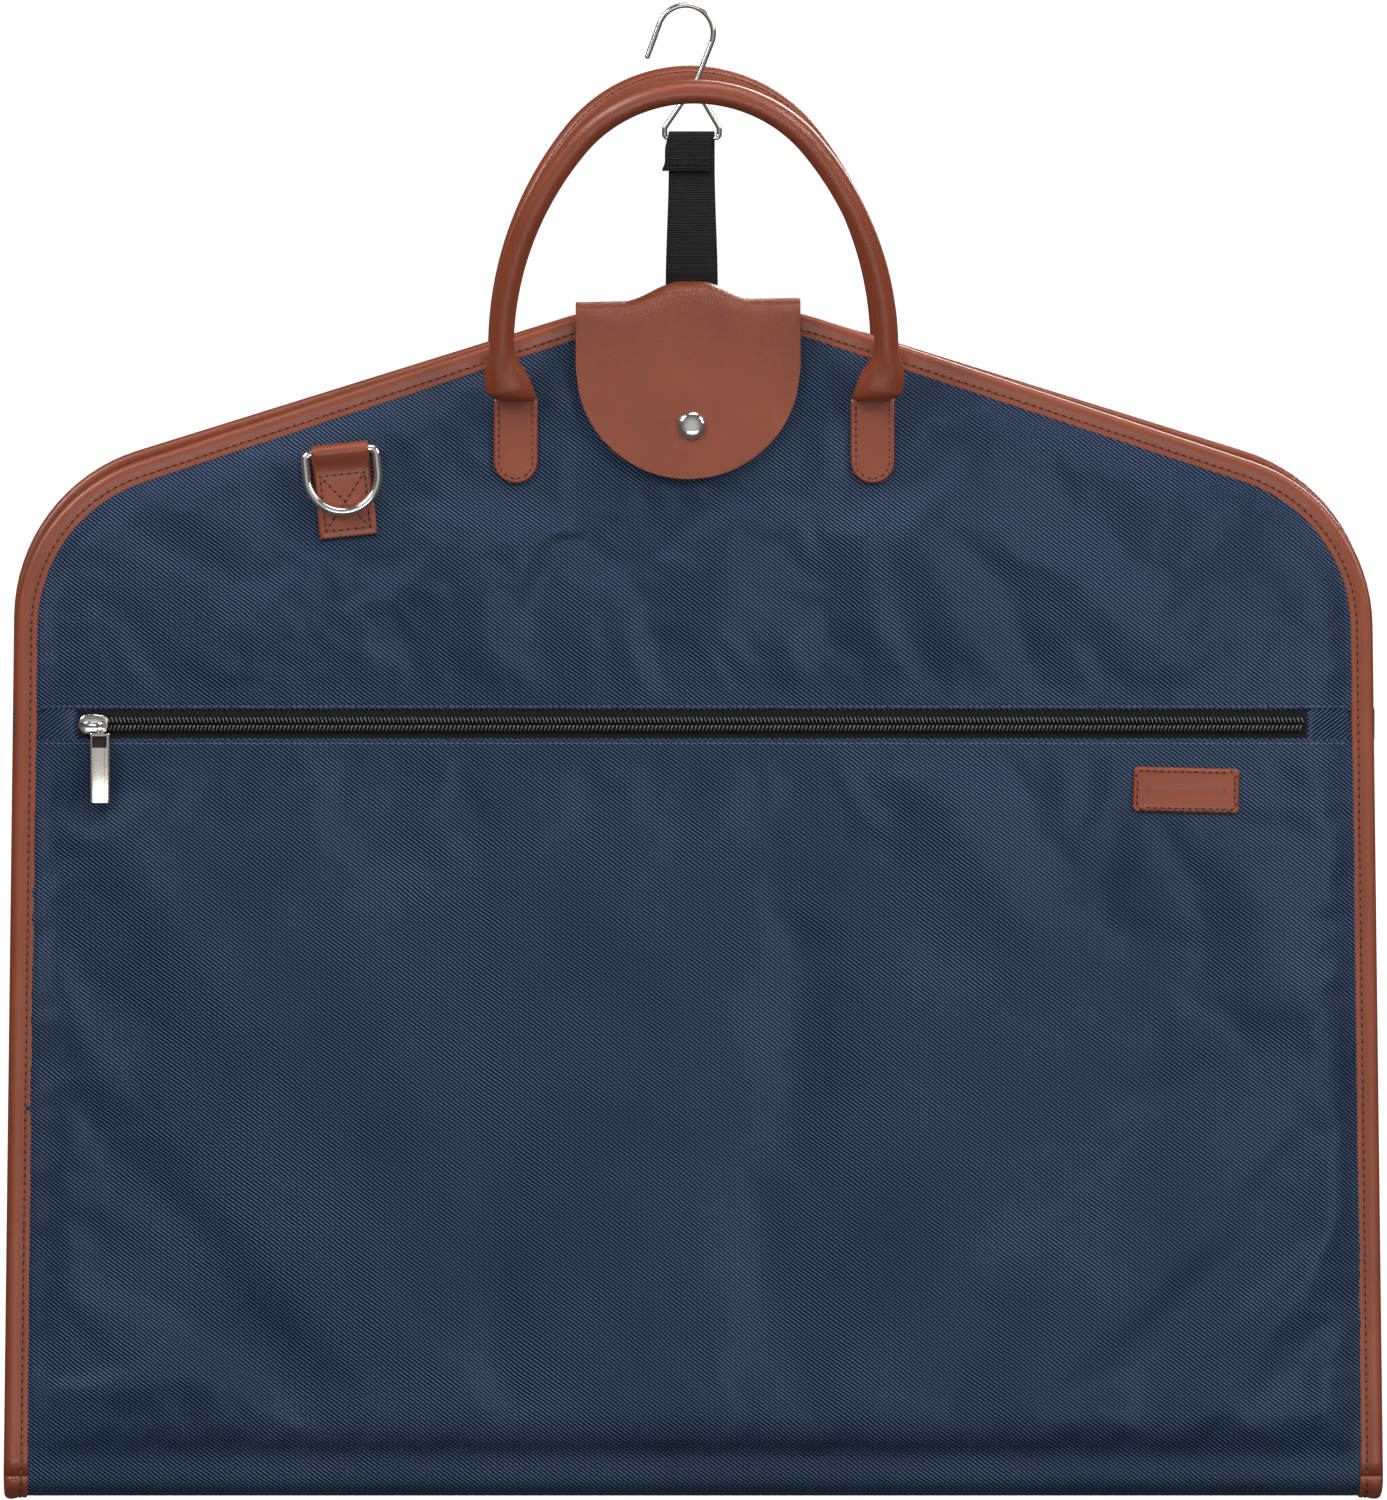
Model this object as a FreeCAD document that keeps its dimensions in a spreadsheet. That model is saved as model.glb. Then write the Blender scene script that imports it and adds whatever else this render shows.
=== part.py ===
"""Folding garment bag, as a parametric FreeCAD document.

The bag hangs folded in half: a front leaf and a rear leaf stand back to back and share a fold at the bottom.
Each leaf is a flat pouch with a twill outside and a lining on its inner side, edged with leather.
Everything is modelled standing on the fold: X right, Y back, Z up, with the fold plane at Y = 0.
Each sub-part's Placement then lowers it, so that the origin is the point where the hook hangs.
The rear leaf's pieces are modelled like the front leaf's, facing -Y, and their Placement turns them round.
"""

import FreeCAD, Part
import math
import os
import Sketcher

SIZES = {
    "hang_height": 659.7,
    # leaf outline
    "half_bottom": 305.3,
    "side_lean": 0.7,
    "front_slope": 18.3,
    "rear_slope": 17.3,
    "corner_radius": 78,
    "neck_radius": 60,
    "neck_half": 36,
    "front_neck": 525,
    "rear_neck": 526,
    "leaf_shift": 0.7,
    # depths, counted outwards from the fold plane
    "fold_axis": 8.7,
    "leaf_gap": 0.2,
    "seam_depth": 8.2,
    "binding_width": 10,
    "binding_thick": 4.4,
    "slot_inset": 1.8,
    "slot_thick": 2,
    "sheet_inset": 2,
    "twill_thick": 0.9,
    "lining_thick": 0.8,
    "sheet_gap": 0.05,
    "room_depth": 40,
    "front_depth": 15.4,
    "rear_depth": 12.4,
    "lining_depth": 3.1,
    "dish_angle": 70,
    "dish_inset": 10.6,
    # pocket and its zip
    "zip_centre": 341.9,
    "zip_opening": 12.4,
    "zip_left": -272.6,
    "zip_right": 271.3,
    "tape_width": 12,
    "tape_thick": 0.6,
    "coil_height": 3.2,
    "coil_depth": 1.6,
    "pocket_sheet_depth": 9.2,
    "pocket_sheet_inset": 18,
    "pocket_bottom": 30,
    "zip_gap": 0.1,
    "coil_end": 1.5,
    # main zip on the inner side
    "main_zip_slot": 9,
    "main_zip_top": 488,
    "main_zip_bottom": 40,
    "main_tape_width": 14,
    "main_coil_width": 3.2,
    "main_coil_rise": 0.3,
    "main_zip_end": 2,
    "lining_part": 0.2,
    # sliders and pulls
    "slider_length": 13,
    "slider_width": 8.5,
    "slider_plate": 1.2,
    "slider_gap": 0.3,
    "slider_rest": 1,
    "ear_thick": 0.9,
    "ear_span": 4,
    "pull_pin": 0.8,
    "pull_pin_depth": 3.4,
    "pin_clearance": 0.08,
    "pull_side_gap": 0.3,
    "pull_barrel": 1.5,
    "pull_neck": 4,
    "pull_width": 9,
    "pull_length": 31,
    "pull_thick": 1.5,
    "main_slider_thick": 1.3,
    "main_slider_rise": 0.5,
    "main_pull_thick": 1,
    "main_pull_width": 6,
    "main_pull_length": 26,
    # handles
    "handle_half": 85,
    "handle_rise": 120.4,
    "handle_foot": 20,
    "handle_crown": 66,
    "handle_bend": 51,
    "handle_drop": 17.5,
    "handle_tube": 5.3,
    "handle_core": 3.8,
    "handle_gap": 0.1,
    "front_handle_lean": 20,
    "rear_handle_lean": 4,
    "front_handle_axis": 488,
    "rear_handle_axis": 490,
    "handle_stand": 7.9,
    "tab_centre": 79,
    "tab_width": 19.4,
    "tab_length": 37.5,
    "tab_thick": 2,
    "tab_drop": 2,
    # closure flap and snap
    "flap_centre": -2,
    "flap_half": 49.8,
    "flap_axis": 527,
    "flap_low": 450.4,
    "flap_thick": 1.6,
    "flap_stand": 3.4,
    "flap_top": 529,
    "hump_rise": 8,
    "hump_half": 27,
    "hump_flat": 9,
    "snap_x": -0.4,
    "snap_z": 474.1,
    "flap_rest": 0.8,
    "flap_part": 0.3,
    "flap_back": 34,
    "flap_back_thick": 1.2,
    "snap_radius": 6.4,
    "cap_thick": 1.6,
    "socket_radius": 5,
    "socket_hole": 2.6,
    "socket_rest": 0.9,
    "socket_height": 0.85,
    "stud_base": 0.5,
    "stud_post": 1.9,
    "stud_height": 1.3,
    # webbing strap and hook
    "strap_x": -0.4,
    "strap_width": 20.5,
    "strap_thick": 1.3,
    "strap_y": 0.5,
    "strap_bend": 539.5,
    "strap_sewn": 490,
    "bar_height": 602.2,
    "strap_part": 0.4,
    "strap_clear": 0.3,
    "loop_foot": 1,
    "overlap_low": 587.3,
    "overlap_shift": 1,
    "overlap_grip": 0.8,
    "wire": 1.2,
    "wire_bend": 1.6,
    "hook_radius": 12.3,
    "hook_x": -3.1,
    "hook_lean": 22.5,
    "hook_turn": 160,
    "hook_leg": 15.5,
    "triangle_x": -0.3,
    "triangle_half": 12.1,
    "triangle_shoulder": 606.5,
    "apex_x": 0.6,
    "triangle_top": 625.5,
    # shoulder strap rings
    "ring_x": -156.8,
    "ring_z": 462.7,
    "ring_tilt": -6,
    "ring_wire": 2,
    "ring_half": 15.9,
    "ring_shoulder": 3,
    "ring_drop": 26.8,
    "ring_tab_width": 25.4,
    "ring_tab_length": 36,
    "ring_tab_thick": 1.6,
    "ring_clear": 0.3,
    "eye_clear": 0.05,
    # leather label
    "label_x": 217.8,
    "label_z": 312.7,
    "label_width": 47,
    "label_height": 20,
    "label_radius": 2.5,
    "label_thick": 1.4,
    "label_tilt": 1.3,
}

FACING = FreeCAD.Rotation(FreeCAD.Vector(1, 0, 0), 90)
TURNED = FreeCAD.Rotation(FreeCAD.Vector(0, 0, 1), 180)
STRAIGHT = FreeCAD.Rotation()

doc = FreeCAD.newDocument("garment_bag")
sheet = doc.addObject("Spreadsheet::Sheet", "Sizes")
subparts = []


def fill_sheet():
    """Write every driving size to the sheet, with its name beside it and as its alias."""
    for row, (alias, value) in enumerate(SIZES.items(), start=1):
        sheet.set(f"A{row}", alias)
        sheet.set(f"B{row}", str(value))
        sheet.setAlias(f"B{row}", alias)
    doc.recompute()


def size(alias):
    """Return one size from the sheet."""
    return float(sheet.get(alias))


def expression(formula):
    """Turn a formula written in plain aliases into one that names the sheet."""
    words = sorted(SIZES, key=len, reverse=True)
    text = formula
    for index, alias in enumerate(words):
        text = text.replace(alias, f"@{index}@")
    for index, alias in enumerate(words):
        text = text.replace(f"@{index}@", f"Sizes.{alias}")
    return text


def bind(thing, **formulas):
    """Bind properties of an object to the sheet; x, y and z mean its position."""
    for name, formula in formulas.items():
        path = f".Placement.Base.{name}" if name in ("x", "y", "z") else name
        thing.setExpression(path, expression(str(formula)))
    return thing


def box(name, **formulas):
    """A box from its low corner x, y, z and its Length, Width and Height."""
    return bind(doc.addObject("Part::Box", name), **formulas)


def disc(name, rotation=FACING, **formulas):
    """A cylinder, lying along -Y unless another rotation is given."""
    made = doc.addObject("Part::Cylinder", name)
    made.Placement = FreeCAD.Placement(FreeCAD.Vector(), rotation)
    return bind(made, **formulas)


def cut(name, base, *tools):
    """Take tools away from base, one after another."""
    made = base
    for index, tool in enumerate(tools):
        result = doc.addObject("Part::Cut", f"{name}_cut{index}")
        result.Base = made
        result.Tool = tool
        made = result
    return made


def fuse(name, *pieces):
    """Join pieces into one solid."""
    made = doc.addObject("Part::MultiFuse", f"{name}_fuse")
    made.Shapes = list(pieces)
    made.Refine = True
    return made


def common(name, first, second):
    """Keep what two shapes share."""
    made = doc.addObject("Part::Common", f"{name}_common")
    made.Base = first
    made.Tool = second
    return made


def keep(label, made, rotation=STRAIGHT, x=0.0, y=0.0, z=0.0):
    """Name a finished sub-part and give it its place under the hang point."""
    if any("Placement" in path for path, formula in made.ExpressionEngine):
        # the piece's own place follows the sheet, so a group of one carries the sub-part's place
        group = doc.addObject("Part::Compound", f"{label}_placed")
        group.Links = [made]
        made.Label = f"{label}_piece"
        made = group
    made.Label = label
    doc.recompute()
    place = FreeCAD.Vector(x, y, z - size("hang_height"))
    made.Placement = FreeCAD.Placement(place, rotation).multiply(made.Placement)
    subparts.append(made)
    return made


def flat_sketch(name):
    """An empty sketch that stands upright, its own x to the right and its own y up."""
    made = doc.addObject("Sketcher::SketchObject", name)
    made.Placement = FreeCAD.Placement(FreeCAD.Vector(), FACING)
    return made


def extrude(name, sketch, depth, start="0", taper=None):
    """Push a standing sketch towards -Y by depth, from start, with the sides drawn in by taper degrees."""
    made = doc.addObject("Part::Extrusion", name)
    made.Base = sketch
    made.DirMode = "Normal"
    made.Solid = True
    bind(made, LengthFwd=depth, y=f"-({start})")
    if taper:
        bind(made, TaperAngle=f"-({taper})")
    return made


def inset(name, sketch, distance):
    """A copy of an outline, drawn in by distance."""
    made = doc.addObject("Part::Offset2D", name)
    made.Source = sketch
    made.Join = "Intersection"
    bind(made, Value=f"-({distance})")
    return made


def arc(centre, radius, start, end):
    """An arc for a sketch, counter-clockwise, its angles in degrees."""
    circle = Part.Circle(FreeCAD.Vector(centre[0], centre[1], 0), FreeCAD.Vector(0, 0, 1), radius)
    return Part.ArcOfCircle(circle, math.radians(start), math.radians(end))


def line(start, end):
    """A straight edge for a sketch."""
    return Part.LineSegment(FreeCAD.Vector(*start, 0), FreeCAD.Vector(*end, 0))


def flip(point):
    """The same point on the other side of the middle."""
    return (-point[0], point[1])


def leaf_outline(side):
    """A leaf's outline: straight foot, slightly leaning sides, round shoulders, sloping tops, flat neck."""
    foot = size("fold_axis") + size("leaf_gap")
    lean = math.radians(size("side_lean"))
    slope = math.radians(size(f"{side}_slope"))
    neck = (size("neck_half"), size(f"{side}_neck"))
    turn = size("neck_radius")
    corner = size("corner_radius")
    foot_corner = (size("half_bottom"), foot)
    neck_centre = (neck[0], neck[1] - turn)
    slope_top = (neck_centre[0] + turn * math.sin(slope), neck_centre[1] + turn * math.cos(slope))
    # the shoulder's centre is one corner radius inside both the sloping top and the leaning side
    top_in = (slope_top[0] - corner * math.sin(slope), slope_top[1] - corner * math.cos(slope))
    side_in = (foot_corner[0] - corner * math.cos(lean), foot_corner[1] - corner * math.sin(lean))
    gap = (top_in[0] - side_in[0], top_in[1] - side_in[1])
    along = (math.sin(lean), -math.cos(lean))
    down = (math.cos(slope), -math.sin(slope))
    run = -(gap[0] * along[1] - gap[1] * along[0]) / (down[0] * along[1] - down[1] * along[0])
    centre = (top_in[0] + run * down[0], top_in[1] + run * down[1])
    slope_foot = (centre[0] + corner * math.sin(slope), centre[1] + corner * math.cos(slope))
    side_top = (centre[0] + corner * math.cos(lean), centre[1] + corner * math.sin(lean))
    slope_angle = 90 - size(f"{side}_slope")
    lean_angle = size("side_lean")

    sketch = flat_sketch(f"{side}_outline")
    edges = [
        line(flip(foot_corner), foot_corner),
        line(foot_corner, side_top),
        arc(centre, corner, lean_angle, slope_angle),
        line(slope_foot, slope_top),
        arc(neck_centre, turn, slope_angle, 90),
        line(neck, flip(neck)),
        arc(flip(neck_centre), turn, 90, 180 - slope_angle),
        line(flip(slope_top), flip(slope_foot)),
        arc(flip(centre), corner, 180 - slope_angle, 180 - lean_angle),
        line(flip(side_top), flip(foot_corner)),
    ]
    sketch.addGeometry(edges, False)
    count = len(edges)
    last = count - 1
    for here in range(count):
        smooth = "Tangent" if 1 <= here <= 4 else "Coincident"
        sketch.addConstraint(Sketcher.Constraint(smooth, here, 2, (here + 1) % count, 1))
    for here, start in ((1, 1), (2, 1), (2, 2), (4, 1), (4, 2)):
        mirror = count - here
        sketch.addConstraint(Sketcher.Constraint("Symmetric", here, start, mirror, 3 - start, -2))
    sketch.addConstraint(Sketcher.Constraint("Equal", 2, 8))
    sketch.addConstraint(Sketcher.Constraint("Equal", 4, 6))
    named = (
        ("foot_height", Sketcher.Constraint("DistanceY", -1, 1, 0, 2, foot), "fold_axis + leaf_gap"),
        ("foot_half", Sketcher.Constraint("DistanceX", -1, 1, 0, 2, foot_corner[0]), "half_bottom"),
        ("neck_height", Sketcher.Constraint("DistanceY", -1, 1, 5, 1, neck[1]), f"{side}_neck"),
        ("neck_end", Sketcher.Constraint("DistanceX", -1, 1, 5, 1, neck[0]), "neck_half"),
        ("side_angle", Sketcher.Constraint("Angle", 1, math.pi / 2 + lean), "(90 + side_lean) * 1 deg"),
        ("slope_angle", Sketcher.Constraint("Angle", 3, math.pi - slope), f"(180 - {side}_slope) * 1 deg"),
        ("shoulder", Sketcher.Constraint("Radius", 2, corner), "corner_radius"),
        ("neck_turn", Sketcher.Constraint("Radius", 4, turn), "neck_radius"),
    )
    for name, constraint, formula in named:
        index = sketch.addConstraint(constraint)
        sketch.renameConstraint(index, name)
        sketch.setExpression(f"Constraints.{name}", expression(formula))
    return sketch


def dished_sheet(name, outline, plate_start, thick, rise, start, out=True):
    """A thin sheet with a flat rim and a dished middle, rising outwards or inwards by rise."""
    plate = extrude(f"{name}_rim", inset(f"{name}_edge", outline, "sheet_inset"), thick, plate_start)
    rim = inset(f"{name}_rise", outline, "dish_inset")
    under = f"{start} - {thick}" if out else f"{start} + {thick}"
    bulge = extrude(f"{name}_bulge", rim, rise, start, "dish_angle")
    hollow = extrude(f"{name}_hollow", rim, rise, under, "dish_angle")
    if not out:
        bulge.Reversed = True
        hollow.Reversed = True
    return cut(name, fuse(name, plate, bulge), hollow)


def slab(name, low, high, wide="half_bottom"):
    """A tall box across the whole leaf between two heights, used to split sheets."""
    return box(
        name,
        x=f"-({wide})",
        y="-room_depth",
        z=low,
        Length=f"2 * ({wide})",
        Width="room_depth",
        Height=f"({high}) - ({low})",
    )


def twill_sheet(side, outline):
    """The outer twill of one leaf, before it is divided."""
    plate = "seam_depth + sheet_gap"
    rise = f"{side}_depth - seam_depth - sheet_gap - twill_thick"
    return dished_sheet(f"{side}_twill", outline, plate, "twill_thick", rise, f"{plate} + twill_thick")


def lining_sheet(side, outline):
    """The lining of one leaf: it bulges inwards and is divided by the main zip."""
    rise = "seam_depth - sheet_gap - lining_thick - lining_depth"
    plate = "seam_depth - sheet_gap - lining_thick"
    return dished_sheet(f"{side}_lining", outline, plate, "lining_thick", rise, plate, out=False)


def binding(side, outline, place):
    """Leather channel that grips both sheets along the sides, shoulders and neck."""
    back = "seam_depth - binding_thick / 2"
    slot_back = "seam_depth - slot_thick / 2"
    whole = extrude(f"{side}_binding_whole", outline, "binding_thick", back)
    inner_edge = inset(f"{side}_binding_in", outline, "binding_width")
    middle = extrude(f"{side}_binding_middle", inner_edge, "binding_thick", back)
    slot_edge = inset(f"{side}_slot_in", outline, "slot_inset")
    slot = extrude(f"{side}_binding_slot", slot_edge, "slot_thick", slot_back)
    foot_top = "fold_axis + 2 * binding_width"
    open_middle = slab(f"{side}_open_middle", "fold_axis", foot_top, "half_bottom - binding_width")
    open_slot = box(
        f"{side}_open_slot",
        x="slot_inset - half_bottom",
        y="-(seam_depth + slot_thick / 2)",
        z="fold_axis",
        Length="2 * (half_bottom - slot_inset)",
        Width="slot_thick",
        Height="binding_width",
    )
    channel = cut(f"{side}_binding", whole, middle, slot, open_middle, open_slot)
    keep(f"{side}_binding", channel, **place)


def split_lining(side, sheet_shape, place):
    """Left and right lining, either side of the main zip."""
    for half, edge in (("left", "-half_bottom"), ("right", "lining_part")):
        room = box(
            f"{side}_{half}_room",
            x=edge,
            y="-room_depth",
            z="0",
            Length="half_bottom - lining_part",
            Width="room_depth",
            Height=f"{side}_neck",
        )
        slot = box(
            f"{side}_{half}_zip_slot",
            x="-main_zip_slot / 2",
            y="-room_depth",
            z="0",
            Length="main_zip_slot",
            Width="room_depth",
            Height="main_zip_top",
        )
        name = f"{side}_lining_{half}"
        keep(name, cut(name, common(name, sheet_shape, room), slot), **place)


def main_zip(side, place):
    """Tapes and coils of the main zip on one leaf, one of each on either side of the middle."""
    height = "main_zip_top - main_zip_bottom - main_zip_end"
    tapes, coils = [], []
    for half, tape_x, coil_x in (
        ("left", "-zip_gap - main_tape_width", "-zip_gap - main_coil_width"),
        ("right", "zip_gap", "zip_gap"),
    ):
        tapes.append(
            box(
                f"{side}_main_tape_{half}",
                x=tape_x,
                y="-(lining_depth + lining_thick + sheet_gap + tape_thick)",
                z="main_zip_bottom",
                Length="main_tape_width",
                Width="tape_thick",
                Height=height,
            )
        )
        coils.append(
            box(
                f"{side}_main_coil_{half}",
                x=coil_x,
                y="-(lining_depth + lining_thick)",
                z="main_zip_bottom",
                Length="main_coil_width",
                Width="lining_thick + main_coil_rise",
                Height=height,
            )
        )
    for name, pieces in ((f"{side}_main_zip_tapes", tapes), (f"{side}_main_zip_coils", coils)):
        group = doc.addObject("Part::Compound", name)
        group.Links = pieces
        keep(name, group, **place)


def rounded_tab(name, width, length, thick):
    """A leather tab: straight sides and top, round lower end, its top edge at the origin."""
    body = doc.addObject("PartDesign::Body", f"{name}_body")
    sketch = body.newObject("Sketcher::SketchObject", f"{name}_sketch")
    plane = [item for item in body.Origin.OriginFeatures if item.Role == "XZ_Plane"][0]
    sketch.AttachmentSupport = [(plane, "")]
    sketch.MapMode = "FlatFace"
    half = size(width) / 2
    drop = size(length) - half
    sketch.addGeometry([
        line((half, 0), (-half, 0)),
        line((-half, 0), (-half, -drop)),
        arc((0, -drop), half, 180, 360),
        line((half, -drop), (half, 0)),
    ], False)
    for here, joint in enumerate(("Coincident", "Tangent", "Tangent", "Coincident")):
        sketch.addConstraint(Sketcher.Constraint(joint, here, 2, (here + 1) % 4, 1))
    sketch.addConstraint(Sketcher.Constraint("Vertical", 1))
    sketch.addConstraint(Sketcher.Constraint("Vertical", 3))
    sketch.addConstraint(Sketcher.Constraint("Symmetric", 0, 1, 0, 2, -1, 1))
    for label, constraint, formula in (
        ("tab_half", Sketcher.Constraint("DistanceX", -1, 1, 0, 1, half), f"{width} / 2"),
        ("tab_drop", Sketcher.Constraint("DistanceY", 2, 3, -1, 1, drop), f"{length} - {width} / 2"),
    ):
        index = sketch.addConstraint(constraint)
        sketch.renameConstraint(index, label)
        sketch.setExpression(f"Constraints.{label}", expression(formula))
    pad = body.newObject("PartDesign::Pad", f"{name}_pad")
    pad.Profile = sketch
    bind(pad, Length=thick)
    doc.recompute()
    if body.Shape.BoundBox.YMax > size(thick) / 2:
        pad.Reversed = True
    return body


def front_place():
    """The front leaf's pieces sit slightly to the right of the middle."""
    return {"x": size("leaf_shift")}


def rear_place():
    """The rear leaf's pieces are turned round and sit slightly to the left."""
    return {"rotation": TURNED, "x": -size("leaf_shift")}


def handle_tabs(side, place):
    """The two tabs that are sewn to the twill and carry a handle."""
    for half, way in (("left", -1), ("right", 1)):
        name = f"{side}_handle_tab_{half}"
        tab = rounded_tab(name, "tab_width", "tab_length", "tab_thick")
        position = FreeCAD.Vector(
            way * size("tab_centre") * (1 if side == "front" else -1),
            -(size(f"{side}_depth") + size("sheet_gap")),
            size(f"{side}_handle_axis") - size("tab_drop"),
        )
        tab.Placement = FreeCAD.Placement(position, STRAIGHT)
        keep(name, tab, **place)


def handle_path():
    """A handle's centre line, standing on its hinge line: five arcs that run into each other."""
    half, rise, foot = size("handle_half"), size("handle_rise"), size("handle_foot")
    crown, bend = size("handle_crown"), size("handle_bend")
    side = ((rise - crown) ** 2 + half**2 - crown**2) / (2 * (half - crown))
    turn = math.degrees(math.atan2(rise - crown, side - half))
    low = math.degrees(math.asin(size("handle_drop") / bend))
    crown_centre = (0, foot + rise - crown)
    arcs = [
        arc((half - bend, foot), bend, -low, 0),
        arc((half - side, foot), side, 0, turn),
        arc(crown_centre, crown, turn, 180 - turn),
        arc((side - half, foot), side, 180 - turn, 180),
        arc((bend - half, foot), bend, 180, 180 + low),
    ]
    start = (half - bend + bend * math.cos(math.radians(low)), foot - bend * math.sin(math.radians(low)))
    return Part.Wire([edge.toShape() for edge in arcs]), start, low


def tube_along(path, start, direction, radius):
    """A round bar swept along a wire from start."""
    ring = Part.Wire(Part.makeCircle(radius, start, direction))
    return path.makePipeShell([ring], True, True)


def handle(side, place):
    """One carrying handle: a leather tube over a round core, leaning about its hinge line."""
    path, start, low = handle_path()
    angle = math.radians(low)
    direction = FreeCAD.Vector(math.sin(angle), math.cos(angle), 0)
    foot = FreeCAD.Vector(start[0], start[1], 0)
    outer = tube_along(path, foot, direction, size("handle_tube"))
    bore = tube_along(path, foot, direction, size("handle_core") + size("handle_gap"))
    core = tube_along(path, foot, direction, size("handle_core"))
    lean = FreeCAD.Rotation(FreeCAD.Vector(1, 0, 0), 90 + size(f"{side}_handle_lean"))
    stand = FreeCAD.Vector(0, -(size(f"{side}_depth") + size("handle_stand")), size(f"{side}_handle_axis"))
    for name, shape in ((f"{side}_handle_cover", outer.cut(bore)), (f"{side}_handle_core", core)):
        made = doc.addObject("Part::Feature", name)
        made.Shape = shape
        made.Placement = FreeCAD.Placement(stand, lean)
        keep(name, made, **place)


def ring_tab_place(side):
    """Where the top of a ring tab is, and how it tilts, on a leaf that faces -Y."""
    tilt = FreeCAD.Rotation(FreeCAD.Vector(0, 1, 0), size("ring_tilt"))
    top = FreeCAD.Vector(size("ring_x"), -(size(f"{side}_depth") + size("sheet_gap")), size("ring_z"))
    return FreeCAD.Placement(top, tilt)


def ring_tab(side, place):
    """Leather strap folded round the ring's bar and sewn flat under it."""
    name = f"{side}_d_ring_tab"
    thick = "ring_tab_thick"
    bar_depth = f"{thick} + ring_wire + ring_clear"
    along = FreeCAD.Rotation(FreeCAD.Vector(0, 1, 0), 90)
    strap = box(
        f"{name}_strap",
        x="-ring_tab_width / 2",
        y=f"-({thick})",
        z="-ring_tab_length",
        Length="ring_tab_width",
        Width=thick,
        Height="ring_tab_length",
    )
    loop = disc(
        f"{name}_loop",
        along,
        x="-ring_tab_width / 2",
        y=f"-({bar_depth})",
        z="0",
        Radius=f"{bar_depth}",
        Height="ring_tab_width",
    )
    eye = disc(
        f"{name}_eye",
        along,
        x="-ring_tab_width",
        y=f"-({bar_depth})",
        z="0",
        Radius="ring_wire + eye_clear",
        Height="2 * ring_tab_width",
    )
    tab = cut(name, fuse(name, strap, loop), eye)
    doc.recompute()
    tab.Placement = ring_tab_place(side)
    keep(name, tab, **place)


def d_ring(side, place):
    """Ring with a straight bar through the tab's loop and a round bow hanging below."""
    half, drop, wire = size("ring_half"), size("ring_drop"), size("ring_wire")
    shoulder = size("ring_shoulder")
    bar_half = half - shoulder
    bow = half - drop
    edges = [
        line((bar_half, 0), (-bar_half, 0)),
        arc((-bar_half, -shoulder), shoulder, 90, 180),
        line((-half, -shoulder), (-half, bow)),
        arc((0, bow), half, 180, 360),
        line((half, bow), (half, -shoulder)),
        arc((bar_half, -shoulder), shoulder, 0, 90),
    ]
    path = Part.Wire(Part.__sortEdges__([edge.toShape() for edge in edges]))
    ring = tube_along(path, FreeCAD.Vector(0, 0, 0), FreeCAD.Vector(1, 0, 0), wire)
    name = f"{side}_d_ring"
    made = doc.addObject("Part::Feature", name)
    made.Shape = ring
    bar_depth = size("ring_tab_thick") + wire + size("ring_clear")
    stand = FreeCAD.Placement(FreeCAD.Vector(0, -bar_depth, 0), FACING)
    made.Placement = ring_tab_place(side).multiply(stand)
    keep(name, made, **place)


def front_leaf():
    """Everything that is sewn to the front leaf."""
    outline = leaf_outline("front")
    place = front_place()
    twill = twill_sheet("front", outline)
    top = slab("upper_room", "zip_centre + zip_opening / 2", "front_neck")
    low = slab("lower_room", "0", "zip_centre - zip_opening / 2")
    keep("front_upper_panel", common("front_upper_panel", twill, top), **place)
    keep("front_pocket_panel", common("front_pocket_panel", twill, low), **place)
    split_lining("front", lining_sheet("front", outline), place)
    binding("front", outline, place)
    main_zip("front", place)
    pocket(outline, place)
    pocket_zip(twill, place)
    handle_tabs("front", place)
    ring_tab("front", place)
    label(place)


def pocket(outline, place):
    """Pocket lining: a flat sheet behind the lower twill, sewn above the zip."""
    edge = inset("pocket_edge", outline, "pocket_sheet_inset")
    whole = extrude("pocket_sheet", edge, "tape_thick", "pocket_sheet_depth")
    room = slab("pocket_room", "pocket_bottom", "zip_centre + tape_width")
    keep("pocket_lining", common("pocket_lining", whole, room), **place)


def pocket_zip(twill, place):
    """Tapes, coils, stops and end patches of the pocket's zip."""
    tape_back = "front_depth - twill_thick - sheet_gap"
    length = "zip_right - zip_left"
    for half, tape_z, coil_z in (
        ("upper", "zip_centre + zip_gap", "zip_centre + zip_gap"),
        ("lower", "zip_centre - zip_gap - tape_width", "zip_centre - zip_gap - coil_height"),
    ):
        tape = box(
            f"tape_{half}",
            x="zip_left",
            y=f"-({tape_back})",
            z=tape_z,
            Length=length,
            Width="tape_thick",
            Height="tape_width",
        )
        keep(f"pocket_zip_{half}_tape", tape, **place)
        coil = box(
            f"coil_{half}",
            x="zip_left + coil_end",
            y=f"-({tape_back} + sheet_gap + coil_depth)",
            z=coil_z,
            Length=f"{length} - 2 * coil_end",
            Width="coil_depth",
            Height="coil_height",
        )
        keep(f"pocket_zip_{half}_coil", coil, **place)
    for half, low_x, high_x in (
        ("left", "-half_bottom", "zip_left - zip_gap"),
        ("right", "zip_right + zip_gap", "half_bottom"),
    ):
        room = box(
            f"patch_{half}_room",
            x=low_x,
            y="-room_depth",
            z="zip_centre - zip_opening / 2 + zip_gap",
            Length=f"({high_x}) - ({low_x})",
            Width="room_depth",
            Height="zip_opening - 2 * zip_gap",
        )
        keep(f"{half}_zip_patch", common(f"patch_{half}", twill, room), **place)


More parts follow.
